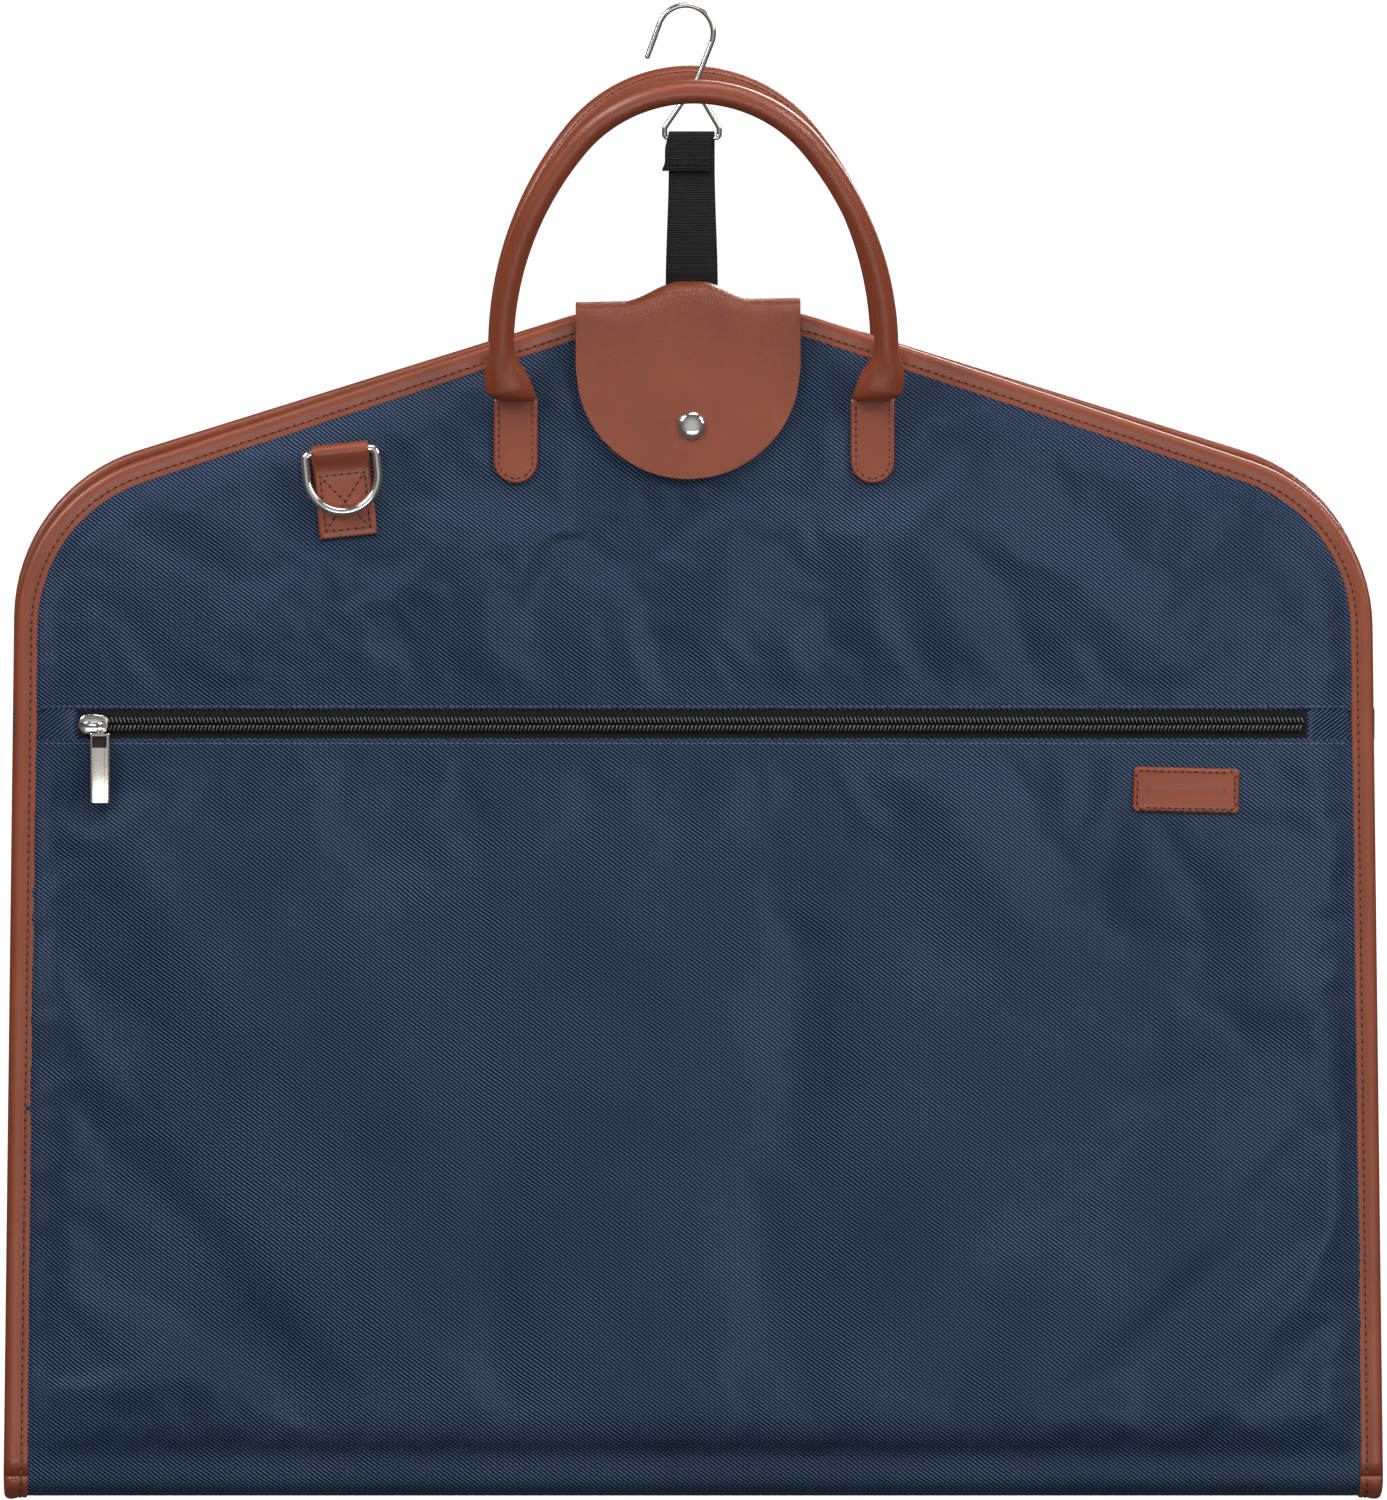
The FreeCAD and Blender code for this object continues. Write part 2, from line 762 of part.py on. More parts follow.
def label(place):
    """Small blank leather label sewn below the zip."""
    plate = box(
        "label_plate",
        x="-label_width / 2",
        y="-label_thick",
        z="-label_height / 2",
        Length="label_width",
        Width="label_thick",
        Height="label_height",
    )
    doc.recompute()
    rounded = doc.addObject("Part::Fillet", "label_rounded")
    rounded.Base = plate
    upright = [
        index
        for index, edge in enumerate(plate.Shape.Edges, start=1)
        if abs(edge.BoundBox.YLength - size("label_thick")) < 1e-6
    ]
    rounded.Edges = [(index, size("label_radius"), size("label_radius")) for index in upright]
    doc.recompute()
    tilt = FreeCAD.Rotation(FreeCAD.Vector(0, 1, 0), size("label_tilt"))
    spot = FreeCAD.Vector(size("label_x"), -(size("front_depth") + size("sheet_gap")), size("label_z"))
    rounded.Placement = FreeCAD.Placement(spot, tilt)
    keep("label_patch", rounded, **place)


def rear_leaf():
    """Everything that is sewn to the rear leaf."""
    outline = leaf_outline("rear")
    place = rear_place()
    keep("rear_outer_panel", twill_sheet("rear", outline), **place)
    split_lining("rear", lining_sheet("rear", outline), place)
    binding("rear", outline, place)
    main_zip("rear", place)
    handle_tabs("rear", place)
    ring_tab("rear", place)


def fold():
    """The twill and the edging that run round the fold from one leaf to the other."""
    outer = size("seam_depth") + size("sheet_gap") + size("twill_thick")
    axis = FreeCAD.Vector(0, 0, size("fold_axis"))
    across = FreeCAD.Vector(1, 0, 0)

    def half_tube(start, length, inner_radius, outer_radius, leg):
        """Half a tube open upwards, with two straight legs, lying along X."""
        begin = FreeCAD.Vector(start, 0, axis.z)
        tube = Part.makeCylinder(outer_radius, length, begin, across)
        tube = tube.cut(Part.makeCylinder(inner_radius, length, begin, across))
        corner = FreeCAD.Vector(start, -2 * outer_radius, axis.z)
        shape = tube.cut(Part.makeBox(length, 4 * outer_radius, 2 * outer_radius, corner))
        for side in (-outer_radius, inner_radius):
            if leg > 0:
                foot = FreeCAD.Vector(start, side, axis.z)
                shape = shape.fuse(Part.makeBox(length, outer_radius - inner_radius, leg, foot))
        return shape.removeSplitter()

    seam = size("seam_depth")
    wide = size("binding_thick") / 2
    half = size("half_bottom")
    slot = size("slot_inset")
    width = size("binding_width")
    strip_half = half - slot - size("leaf_shift") - size("leaf_gap")
    strip = half_tube(-strip_half, 2 * strip_half, outer - size("twill_thick"), outer, size("sheet_inset"))
    play = size("slot_thick") / 2
    groove = half_tube(slot - half, 2 * (half - slot), seam - play, seam + play, 0)
    edges = {
        "fold_binding_left": half_tube(-half, width, seam - wide, seam + wide, 0).cut(groove),
        "fold_binding_right": half_tube(half - width, width, seam - wide, seam + wide, 0).cut(groove),
        "fold_strip": strip,
    }
    for name, shape in edges.items():
        made = doc.addObject("Part::Feature", name)
        made.Shape = shape
        keep(name, made)


def flap():
    """Leather flap: a fixed part over the neck and a hanging part that opens, with its snap."""
    inner = "front_depth + flap_stand - flap_thick"
    straight = box(
        "flap_straight",
        x="flap_centre - flap_half",
        y="-(front_depth + flap_stand)",
        z="flap_low + flap_half",
        Length="2 * flap_half",
        Width="flap_thick",
        Height="flap_axis - flap_low - flap_half",
    )
    lower_half = FACING.multiply(TURNED)
    round_end = disc(
        "flap_round",
        lower_half,
        Angle="180",
        x="flap_centre",
        y=f"-({inner})",
        z="flap_low + flap_half",
        Radius="flap_half",
        Height="flap_thick",
    )
    keep("closure_flap", fuse("closure_flap", straight, round_end))

    cover = "front_depth + flap_stand - flap_rest"
    roll = box(
        "flap_roll",
        x="flap_centre - flap_half",
        y="-(front_depth + flap_stand)",
        z="flap_axis + flap_part",
        Length="2 * flap_half",
        Width=cover,
        Height="flap_top - flap_axis - flap_part",
    )
    hump = doc.addObject("Part::Wedge", "flap_hump")
    hump.Placement = FreeCAD.Placement(FreeCAD.Vector(), FACING)
    bind(
        hump,
        x="flap_centre",
        y="-flap_rest",
        Xmin="-hump_half",
        Xmax="hump_half",
        X2min="-hump_flat",
        X2max="hump_flat",
        Ymin="flap_top",
        Ymax="flap_top + hump_rise",
        Zmin="0",
        Zmax=cover,
        Z2min="0",
        Z2max=cover,
    )
    back = box(
        "flap_back_piece",
        x="flap_centre - flap_half",
        y="-(flap_rest + flap_back_thick)",
        z="flap_top - flap_back",
        Length="2 * flap_half",
        Width="flap_back_thick",
        Height="flap_back",
    )
    keep("flap_base", fuse("flap_base", roll, hump, back))


def snap_disc(name, depth, radius, height):
    """A disc of the snap, standing out from a depth in front of the fold plane."""
    return disc(name, x="snap_x", y=f"-({depth})", z="snap_z", Radius=radius, Height=height)


def snap():
    """The snap: a cap and a socket on the flap, and a stud on the twill."""
    twill = "front_depth + sheet_gap"
    cap = snap_disc("snap_cap_disc", "front_depth + flap_stand + sheet_gap", "snap_radius", "cap_thick")
    keep("snap_cap", cap)
    whole = snap_disc("snap_socket_disc", "front_depth + socket_rest", "socket_radius", "socket_height")
    hole = snap_disc("snap_socket_hole", "front_depth", "socket_hole", "flap_stand")
    keep("snap_socket", cut("snap_socket", whole, hole))
    base = snap_disc("snap_stud_base", twill, "socket_radius", "stud_base")
    post = snap_disc("snap_stud_post", twill, "stud_post", "stud_height")
    keep("snap_stud", fuse("snap_stud", base, post))


def strap():
    """Webbing strap: the sewn end on the leaf, and the free length looped over the hook's bar."""
    sewn = box(
        "strap_sewn_end",
        x="strap_x - strap_width / 2",
        y="strap_y - strap_thick / 2",
        z="strap_sewn",
        Length="strap_width",
        Width="strap_thick",
        Height="strap_bend - strap_sewn - strap_part",
    )
    keep("strap_sewn_end", sewn)
    free = box(
        "strap_free",
        x="strap_x - strap_width / 2",
        y="strap_y - strap_thick / 2",
        z="strap_bend + strap_part",
        Length="strap_width",
        Width="strap_thick",
        Height="bar_height - loop_foot - strap_bend - strap_part",
    )
    along = FreeCAD.Rotation(FreeCAD.Vector(0, 1, 0), 90)
    loop = disc(
        "strap_loop",
        along,
        x="strap_x - strap_width / 2",
        y="0",
        z="bar_height",
        Radius="wire + strap_clear + strap_thick",
        Height="strap_width",
    )
    overlap = box(
        "strap_overlap",
        x="strap_x - strap_width / 2 - overlap_shift",
        y="-(wire + strap_clear + strap_thick)",
        z="overlap_low",
        Length="strap_width",
        Width="strap_thick + overlap_grip",
        Height="bar_height - wire - 2 * strap_clear - overlap_low",
    )
    eye = disc(
        "strap_eye",
        along,
        x="strap_x - strap_width",
        y="0",
        z="bar_height",
        Radius="wire + strap_clear",
        Height="2 * strap_width",
    )
    keep("hook_strap", cut("hook_strap", fuse("hook_strap", free, loop, overlap), eye))


def closed_bends(corners, radius):
    """A closed path through corners, with a round bend of one radius at each."""
    bends = []
    for here, corner in enumerate(corners):
        back = (corners[here - 1] - corner).normalize()
        onward = (corners[(here + 1) % len(corners)] - corner).normalize()
        half = back.getAngle(onward) / 2
        middle = (back + onward).normalize()
        reach = radius / math.tan(half)
        crown = corner + middle * (radius / math.sin(half) - radius)
        bends.append((corner + back * reach, crown, corner + onward * reach))
    edges = []
    for here, bend in enumerate(bends):
        edges.append(Part.makeLine(bends[here - 1][2], bend[0]))
        edges.append(Part.Arc(*bend).toShape())
    return Part.Wire(edges), bends


def upright(point):
    """A point of the X-Z plane from its x and z."""
    return FreeCAD.Vector(point[0], 0, point[1])


def hook():
    """Wire hook: open bend, slanting shank, and a closed triangle whose bar carries the strap."""
    radius, wire = size("hook_radius"), size("wire")
    centre = (size("hook_x"), size("hang_height") + wire - radius)
    lean = math.radians(size("hook_lean"))
    tip_turn = math.radians(size("hook_turn"))
    leg = size("hook_leg")
    bend_out = (centre[0] + radius * math.cos(lean), centre[1] - radius * math.sin(lean))
    leg_top = (centre[0] + radius * math.cos(tip_turn), centre[1] + radius * math.sin(tip_turn))
    tip = (leg_top[0] - leg * math.sin(tip_turn), leg_top[1] + leg * math.cos(tip_turn))

    middle, half = size("triangle_x"), size("triangle_half")
    shoulder, bar = size("triangle_shoulder"), size("bar_height")
    corners = [
        (size("apex_x"), size("triangle_top")),
        (middle - half, shoulder),
        (middle - half, bar),
        (middle + half, bar),
        (middle + half, shoulder),
    ]
    path, bends = closed_bends([upright(corner) for corner in corners], size("wire_bend"))
    first_way = bends[0][0] - bends[-1][2]
    triangle = tube_along(path, bends[-1][2], first_way, wire)

    bend = arc(centre, radius, -size("hook_lean"), size("hook_turn")).toShape()
    bend.rotate(FreeCAD.Vector(), FreeCAD.Vector(1, 0, 0), 90)
    shank = Part.makeLine(bends[0][1], upright(bend_out))
    point = Part.makeLine(upright(leg_top), upright(tip))
    shank_way = upright(bend_out) - bends[0][1]
    rod = tube_along(Part.Wire([shank, bend, point]), bends[0][1], shank_way, wire)
    round_tip = Part.makeSphere(wire, upright(tip))
    made = doc.addObject("Part::Feature", "hanger_hook")
    made.Shape = rod.fuse(round_tip).fuse(triangle)
    keep("hanger_hook", made)


def wire_place(depth, z=0.0):
    """A point at a depth in front of the fold plane."""
    return FreeCAD.Vector(0, -depth, z)


def pocket_slider():
    """The pocket's slider, its nose to the left, with two ears and a pin for the pull."""
    length, width, nose = size("slider_length"), size("slider_width"), size("slider_width") / 2
    coil_top = size("front_depth") - size("twill_thick") + size("coil_depth")
    plate_low = coil_top + size("slider_gap")
    plate_high = plate_low + size("slider_plate")
    pin_depth = coil_top + size("pull_pin_depth")
    pin, ear = size("pull_pin"), size("ear_thick")
    away = FreeCAD.Vector(0, -1, 0)
    across = FreeCAD.Vector(1, 0, 0)
    thick = size("slider_plate")
    corner = FreeCAD.Vector(nose - length / 2, -plate_high, -width / 2)
    plate = Part.makeBox(length - nose, thick, width, corner)
    round_nose = Part.makeCylinder(nose, thick, FreeCAD.Vector(nose - length / 2, -plate_low, 0), away)
    shape = plate.fuse(round_nose)
    ear_high = pin_depth + 2 * pin
    for start in (0.0, size("ear_span") + ear):
        foot = FreeCAD.Vector(start, -ear_high, -1.5 * pin)
        shape = shape.fuse(Part.makeBox(ear, ear_high - plate_high + thick / 2, 3 * pin, foot))
    shape = shape.fuse(Part.makeCylinder(pin, size("ear_span") + 2 * ear, wire_place(pin_depth), across))
    made = doc.addObject("Part::Feature", "pocket_slider")
    made.Shape = shape.removeSplitter()
    spot = {"x": size("zip_left") + length / 2 + size("slider_rest"), "z": size("zip_centre")}
    keep("pocket_slider", made, **spot)

    barrel_start = ear + size("pull_side_gap")
    barrel_length = size("ear_span") - 2 * size("pull_side_gap")
    middle = ear + size("ear_span") / 2
    wide, long, flat = size("pull_width"), size("pull_length"), size("pull_thick")
    neck = size("pull_neck")
    front = pin_depth + flat / 2
    begin = FreeCAD.Vector(barrel_start, -pin_depth, 0)
    barrel = Part.makeCylinder(size("pull_barrel"), barrel_length, begin, across)
    stem = Part.makeBox(barrel_length, flat, neck, FreeCAD.Vector(barrel_start, -front, -neck))
    tongue = Part.makeBox(wide, flat, long, FreeCAD.Vector(middle - wide / 2, -front, -neck - long))
    bore = Part.makeCylinder(pin + size("pin_clearance"), barrel_length, begin, across)
    pull = doc.addObject("Part::Feature", "pocket_pull")
    pull.Shape = barrel.fuse(stem).fuse(tongue).cut(bore).removeSplitter()
    keep("pocket_pull", pull, **spot)


def main_slider():
    """The main zip's slider, closed at the top of the front leaf's inner side, its pull lying flat."""
    face = size("lining_depth") - size("main_slider_rise")
    plate, tongue = size("main_slider_thick"), size("main_pull_thick")
    wide, tall = size("slider_width"), size("slider_length")
    spot = {"x": size("leaf_shift"), "z": size("main_zip_top") - tall}
    body = doc.addObject("Part::Feature", "main_slider")
    body.Shape = Part.makeBox(wide, plate, tall, FreeCAD.Vector(-wide / 2, -face, -tall / 2))
    keep("main_slider", body, **spot)
    pull_wide, pull_long = size("main_pull_width"), size("main_pull_length")
    pull = doc.addObject("Part::Feature", "main_pull")
    corner = FreeCAD.Vector(-pull_wide / 2, -face + plate, -pull_long - tall / 4)
    pull.Shape = Part.makeBox(pull_wide, tongue, pull_long, corner)
    keep("main_pull", pull, **spot)


def check_and_write():
    """Stop on any failed object or bad solid, then write one STEP file for each sub-part."""
    doc.recompute()
    for thing in doc.Objects:
        if "Invalid" in thing.State or "Error" in thing.State:
            raise RuntimeError(f"{thing.Name} ({thing.Label}) failed: {thing.State}")
    os.makedirs("parts", exist_ok=True)
    for made in subparts:
        shape = made.Shape
        if shape.isNull() or not shape.isValid() or not shape.Solids:
            raise RuntimeError(f"{made.Label} has no valid solid")
        shape.exportStep(f"parts/{made.Label}.step")
        print(f"{made.Label:28s} solids {len(shape.Solids)} volume {shape.Volume:10.1f}")
    print(len(subparts), "sub-parts")


fill_sheet()
front_leaf()
rear_leaf()
fold()
flap()
snap()
strap()
hook()
for side_name, side_place in (("front", front_place()), ("rear", rear_place())):
    handle(side_name, side_place)
    d_ring(side_name, side_place)
pocket_slider()
main_slider()
check_and_write()
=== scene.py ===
"""Looks of the folding garment bag, built in the frame of its CAD model.

Shapes are worked out in millimetres above the bag's foot: x right, y back, z up.
metres() then moves them to the row frame, whose origin is the point where the hook hangs.
"""

import math
import random

import bpy
import numpy as np
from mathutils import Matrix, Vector, noise
from mathutils.geometry import delaunay_2d_cdt


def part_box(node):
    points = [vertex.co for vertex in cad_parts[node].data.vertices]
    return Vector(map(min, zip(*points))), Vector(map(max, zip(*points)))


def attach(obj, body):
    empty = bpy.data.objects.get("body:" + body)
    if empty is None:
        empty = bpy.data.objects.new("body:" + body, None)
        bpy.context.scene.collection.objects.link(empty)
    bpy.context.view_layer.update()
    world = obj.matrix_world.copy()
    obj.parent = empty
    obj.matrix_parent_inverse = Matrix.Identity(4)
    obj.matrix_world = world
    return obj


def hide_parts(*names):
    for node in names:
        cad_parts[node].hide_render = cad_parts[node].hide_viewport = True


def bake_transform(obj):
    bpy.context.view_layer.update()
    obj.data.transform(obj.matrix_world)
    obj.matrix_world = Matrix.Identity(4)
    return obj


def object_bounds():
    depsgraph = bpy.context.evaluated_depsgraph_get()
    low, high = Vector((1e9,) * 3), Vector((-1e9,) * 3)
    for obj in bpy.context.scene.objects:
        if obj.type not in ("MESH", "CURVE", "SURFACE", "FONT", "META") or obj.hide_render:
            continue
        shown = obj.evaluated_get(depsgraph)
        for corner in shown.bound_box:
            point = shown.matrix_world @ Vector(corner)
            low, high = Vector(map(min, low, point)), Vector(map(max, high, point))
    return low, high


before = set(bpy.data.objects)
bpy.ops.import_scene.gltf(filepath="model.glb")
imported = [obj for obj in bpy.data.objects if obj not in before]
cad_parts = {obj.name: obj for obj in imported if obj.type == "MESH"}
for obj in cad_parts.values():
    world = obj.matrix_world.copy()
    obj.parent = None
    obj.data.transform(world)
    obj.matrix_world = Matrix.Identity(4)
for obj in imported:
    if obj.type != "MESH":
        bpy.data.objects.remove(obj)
cad_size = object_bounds()

MM = 0.001
HANG_HEIGHT = 659.7

# leaf outline, as in the CAD
HALF_BOTTOM = 305.3
SIDE_LEAN = math.radians(0.7)
SLOPE = {"front": math.radians(18.3), "rear": math.radians(17.3)}
NECK_HEIGHT = {"front": 525, "rear": 526}
NECK_HALF = 36
NECK_RADIUS = 60
CORNER_RADIUS = 78
LEAF_SHIFT = 0.7
FOLD_AXIS = 8.7
SEAM_DEPTH = 8.2
RIM_DEPTH = 9.15
CROWN = {"front": 15.4, "rear": 12.4}
OUTWARD = {"front": -1, "rear": 1}
SHEET_INSET = 2
BINDING_WIDTH = 10
FOLD_RUN = math.pi / 2 * RIM_DEPTH
SIDE_STEPS, INCLINE_STEPS, NECK_STEPS = 48, 28, 7

# pocket zip
ZIP_CENTRE = 341.9
ZIP_OPENING = 12.4
ZIP_LEFT, ZIP_RIGHT = -272.6, 271.3
ZIP_STITCH = 8.1


# ---- frame and mesh helpers


def metres(points):
    """Bag millimetres to row-frame metres."""
    return (np.asarray(points, float) - (0, 0, HANG_HEIGHT)) * MM


def place(x, y, z):
    """One point of the row frame from bag millimetres."""
    return Vector(metres((x, y, z)))


def span(node):
    """Lowest and highest corner of a CAD node, in bag millimetres."""
    return [Vector(corner) / MM + Vector((0, 0, HANG_HEIGHT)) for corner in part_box(node)]


def smooth_step(low, high, value):
    """0 below low, 1 above high, smooth between."""
    share = np.clip((np.asarray(value, float) - low) / (high - low), 0, 1)
    return share * share * (3 - 2 * share)


def make_object(name, points, faces, materials, smooth=True):
    """A mesh object from bag millimetres. materials is one, or several with a slot number for each face."""
    mesh = bpy.data.meshes.new(name)
    mesh.from_pydata([tuple(p) for p in metres(points)], [], [tuple(f) for f in faces])
    mesh.validate()
    obj = bpy.data.objects.new(name, mesh)
    bpy.context.scene.collection.objects.link(obj)
    for one in materials if isinstance(materials, (list, tuple)) else [materials]:
        mesh.materials.append(one)
    if smooth:
        mesh.shade_smooth()
    return obj


def set_uv(obj, flat):
    """Store each vertex's place on the flat cloth, in metres, as its UV."""
    layer = obj.data.uv_layers.new(name="UVMap")
    corners = np.empty(len(obj.data.loops), int)
    obj.data.loops.foreach_get("vertex_index", corners)
    layer.data.foreach_set("uv", (np.asarray(flat, float)[corners] * MM).ravel())


def add_modifier(obj, kind, **settings):
    """Add one modifier and set its values."""
    made = obj.modifiers.new(kind.title(), kind)
    for key, value in settings.items():
        setattr(made, key, value)
    return made


def settle(obj):
    """Turn an object's modifiers into plain mesh."""
    bpy.context.view_layer.update()
    done = bpy.data.meshes.new_from_object(obj.evaluated_get(bpy.context.evaluated_depsgraph_get()))
    obj.modifiers.clear()
    obj.data = done
    return obj


def coordinates(obj):
    """An object's vertices as an array."""
    flat = np.empty(len(obj.data.vertices) * 3)
    obj.data.vertices.foreach_get("co", flat)
    return flat.reshape(-1, 3)


def unit(rows):
    """Rows of numbers scaled to length 1."""
    return rows / np.linalg.norm(rows, axis=1)[:, None]


def run_along(path):
    """How far along a path each of its points lies."""
    return np.concatenate([[0], np.cumsum(np.linalg.norm(np.diff(path, axis=0), axis=1))])


def level_row(xs, height):
    """Flat points side by side at one height."""
    return np.stack([xs, np.full(len(xs), float(height))], 1)


def circle_angles(count):
    """Even angles round a full turn, the end left out."""
    return np.linspace(0, 2 * math.pi, count, endpoint=False)


def facing_out(side, count):
    """The same outward direction of a leaf, once for each of count points."""
    return np.tile([0.0, OUTWARD[side], 0.0], (count, 1))


def assign(obj, slot, body, *nodes):
    """Hang a piece on the body it rides on and hide the CAD nodes it stands for; slot, what it is made of, is
    not used.
    """
    if nodes:
        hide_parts(*nodes)
    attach(obj, body)


# ---- outlines and flat meshes


def turn(centre, radius, start, end, step=6.0):
    """Points and outward directions along an arc, angles in radians."""
    count = max(2, int(abs(end - start) * radius / step) + 1)
    angles = np.linspace(start, end, count)
    ways = np.stack([np.cos(angles), np.sin(angles)], 1)
    return np.asarray(centre) + radius * ways, ways


def side_edge(height):
    """How far right a leaf's leaning side lies at a height."""
    return HALF_BOTTOM - (height - FOLD_AXIS) * math.tan(SIDE_LEAN)


def leaf_path(side):
    """A leaf's outline from its right foot over the shoulders to its left foot, with outward directions."""
    slope = SLOPE[side]
    neck_centre = np.array([NECK_HALF, NECK_HEIGHT[side] - NECK_RADIUS])
    up = np.array([math.sin(slope), math.cos(slope)])
    out = np.array([math.cos(SIDE_LEAN), math.sin(SIDE_LEAN)])
    # the shoulder's centre is one radius inside the sloping top and inside the leaning side
    rises = np.array([up, out])
    limits = [up @ neck_centre + NECK_RADIUS - CORNER_RADIUS, out @ (HALF_BOTTOM, FOLD_AXIS) - CORNER_RADIUS]
    corner = np.linalg.solve(rises, limits)
    side_top = corner + CORNER_RADIUS * out
    heights = np.linspace(FOLD_AXIS, side_top[1], SIDE_STEPS, endpoint=False)
    edge = np.stack([side_edge(heights), heights], 1)
    shoulder, shoulder_ways = turn(corner, CORNER_RADIUS, SIDE_LEAN, math.pi / 2 - slope)
    neck, neck_ways = turn(neck_centre, NECK_RADIUS, math.pi / 2 - slope, math.pi / 2)
    shares = np.linspace(0, 1, INCLINE_STEPS)[1:-1, None]
    incline = shoulder[-1] * (1 - shares) + neck[0] * shares
    top = level_row(np.linspace(NECK_HALF, 0, NECK_STEPS)[1:], NECK_HEIGHT[side])
    points = np.concatenate([edge, shoulder, incline, neck, top])
    ways = np.concatenate([
        np.tile(out, (len(edge), 1)),
        shoulder_ways,
        np.tile(up, (len(incline), 1)),
        neck_ways,
        np.tile([0.0, 1.0], (len(top), 1)),
    ])
    return tuple(np.concatenate([half, half[-2::-1] * (-1, 1)]) for half in (points, ways))


def distance_to(points, path, closed=False):
    """Shortest distance from each point to a path of short straight steps."""
    starts = path if closed else path[:-1]
    ends = np.roll(path, -1, 0) if closed else path[1:]
    best = np.full(len(points), 1e9)
    for start, end in zip(starts, ends):
        run = end - start
        share = np.clip((points - start) @ run / max(run @ run, 1e-12), 0, 1)
        best = np.minimum(best, np.linalg.norm(points - start - share[:, None] * run, axis=1))
    return best


def is_inside(points, outline):
    """Which points lie inside a closed outline."""
    x, y = points[:, 0], points[:, 1]
    result = np.zeros(len(points), bool)
    for (x1, y1), (x2, y2) in zip(outline, np.roll(outline, -1, 0)):
        if y1 != y2:
            crosses = (y1 > y) != (y2 > y)
            result ^= crosses & (x < (x2 - x1) * (y - y1) / (y2 - y1) + x1)
    return result


def fill(outline, spacing, extra=(), clear=0.6):
    """Points and triangles that fill an outline with an even grid, kept clear of the extra points."""
    low, high = outline.min(0), outline.max(0)
    grid = []
    for row, height in enumerate(np.arange(low[1] + spacing / 2, high[1], spacing * math.sqrt(3) / 2)):
        start = low[0] + spacing * (0.25 + 0.5 * (row % 2))
        grid.append(level_row(np.arange(start, high[0], spacing), height))
    grid = np.concatenate(grid)
    grid = grid[is_inside(grid, outline)]
    grid = grid[distance_to(grid, outline, closed=True) > clear * spacing]
    for one in extra:
        grid = grid[distance_to(grid, one) > clear * spacing]
    points = [Vector(point) for point in np.concatenate([outline, grid, *extra])]
    verts, _, faces, _, _, _ = delaunay_2d_cdt(points, [], [list(range(len(outline)))], 1, 1e-5)
    return np.array([tuple(v) for v in verts]), [f for f in faces if len(f) == 3]


def inset_ring(outline, distance):
    """A closed outline drawn in by a distance; it runs counter-clockwise."""
    ahead = unit(np.roll(outline, -1, 0) - np.roll(outline, 1, 0))
    return outline + distance * np.stack([-ahead[:, 1], ahead[:, 0]], 1)


# ---- materials


def new_material(name, colour, roughness, metallic=0.0, **extra):
    """A material with one Principled shader and its plain values."""
    made = bpy.data.materials.new(name)
    made.use_nodes = True
    shader = made.node_tree.nodes["Principled BSDF"]
    shader.inputs["Base Color"].default_value = (*colour, 1)
    shader.inputs["Roughness"].default_value = roughness
    shader.inputs["Metallic"].default_value = metallic
    for key, value in extra.items():
        shader.inputs[key.replace("_", " ").title().replace("Ior", "IOR")].default_value = value
    return made


class Nodes:
    """Short ways to add nodes to a material."""

    def __init__(self, made):
        self.tree = made.node_tree
        self.shader = made.node_tree.nodes["Principled BSDF"]

    def add(self, kind, **values):
        """A new node with its settings."""
        node = self.tree.nodes.new(kind)
        for key, value in values.items():
            setattr(node, key, value)
        return node

    def link(self, source, target):
        """Join two sockets."""
        self.tree.links.new(source, target)

    def math(self, operation, first, second=0.0, third=0.0):
        """One Math node; its inputs are sockets or numbers."""
        node = self.add("ShaderNodeMath", operation=operation)
        for socket, value in zip(node.inputs, (first, second, third)):
            if isinstance(value, (int, float)):
                socket.default_value = value
            else:
                self.link(value, socket)
        return node.outputs[0]

    def mix(self, share, first, second):
        """Mix two colours; each is a socket or an RGB triple."""
        node = self.add("ShaderNodeMix", data_type="RGBA")
        self.link(share, node.inputs["Factor"])
        colours = [socket for socket in node.inputs if socket.type == "RGBA"]
        for socket, value in zip(colours, (first, second)):
            if isinstance(value, tuple):
                socket.default_value = (*value, 1)
            else:
                self.link(value, socket)
        return next(socket for socket in node.outputs if socket.type == "RGBA")

    def clamp(self, value, low=0.0, high=1.0):
        """Keep a value between two limits."""
        return self.math("MINIMUM", self.math("MAXIMUM", value, low), high)

    def place(self):
        """The place on the object, in metres."""
        return self.add("ShaderNodeTexCoord").outputs["Object"]

    def split(self, vector):
        """The X, Y and Z outputs of a vector."""
        node = self.add("ShaderNodeSeparateXYZ")
        self.link(vector, node.inputs[0])
        return node.outputs

    def finish(self, colour, normal):
        """Link the colour and the relief to the shader."""
        if colour is not None:
            self.link(colour, self.shader.inputs["Base Color"])
        self.link(normal, self.shader.inputs["Normal"])

    def bump(self, height, strength, depth, below=None):
        """A Bump node; depth is in metres."""
        node = self.add("ShaderNodeBump")
        node.inputs["Strength"].default_value = strength
        node.inputs["Distance"].default_value = depth
        self.link(height, node.inputs["Height"])
        if below is not None:
            self.link(below, node.inputs["Normal"])
        return node.outputs["Normal"]

    def noise(self, where, scale, detail=2.0, roughness=0.5):
        """Noise between 0 and 1; scale is per metre."""
        node = self.add("ShaderNodeTexNoise")
        node.inputs["Scale"].default_value = scale
        node.inputs["Detail"].default_value = detail
        node.inputs["Roughness"].default_value = roughness
        self.link(where, node.inputs["Vector"])
        return node.outputs["Fac"]


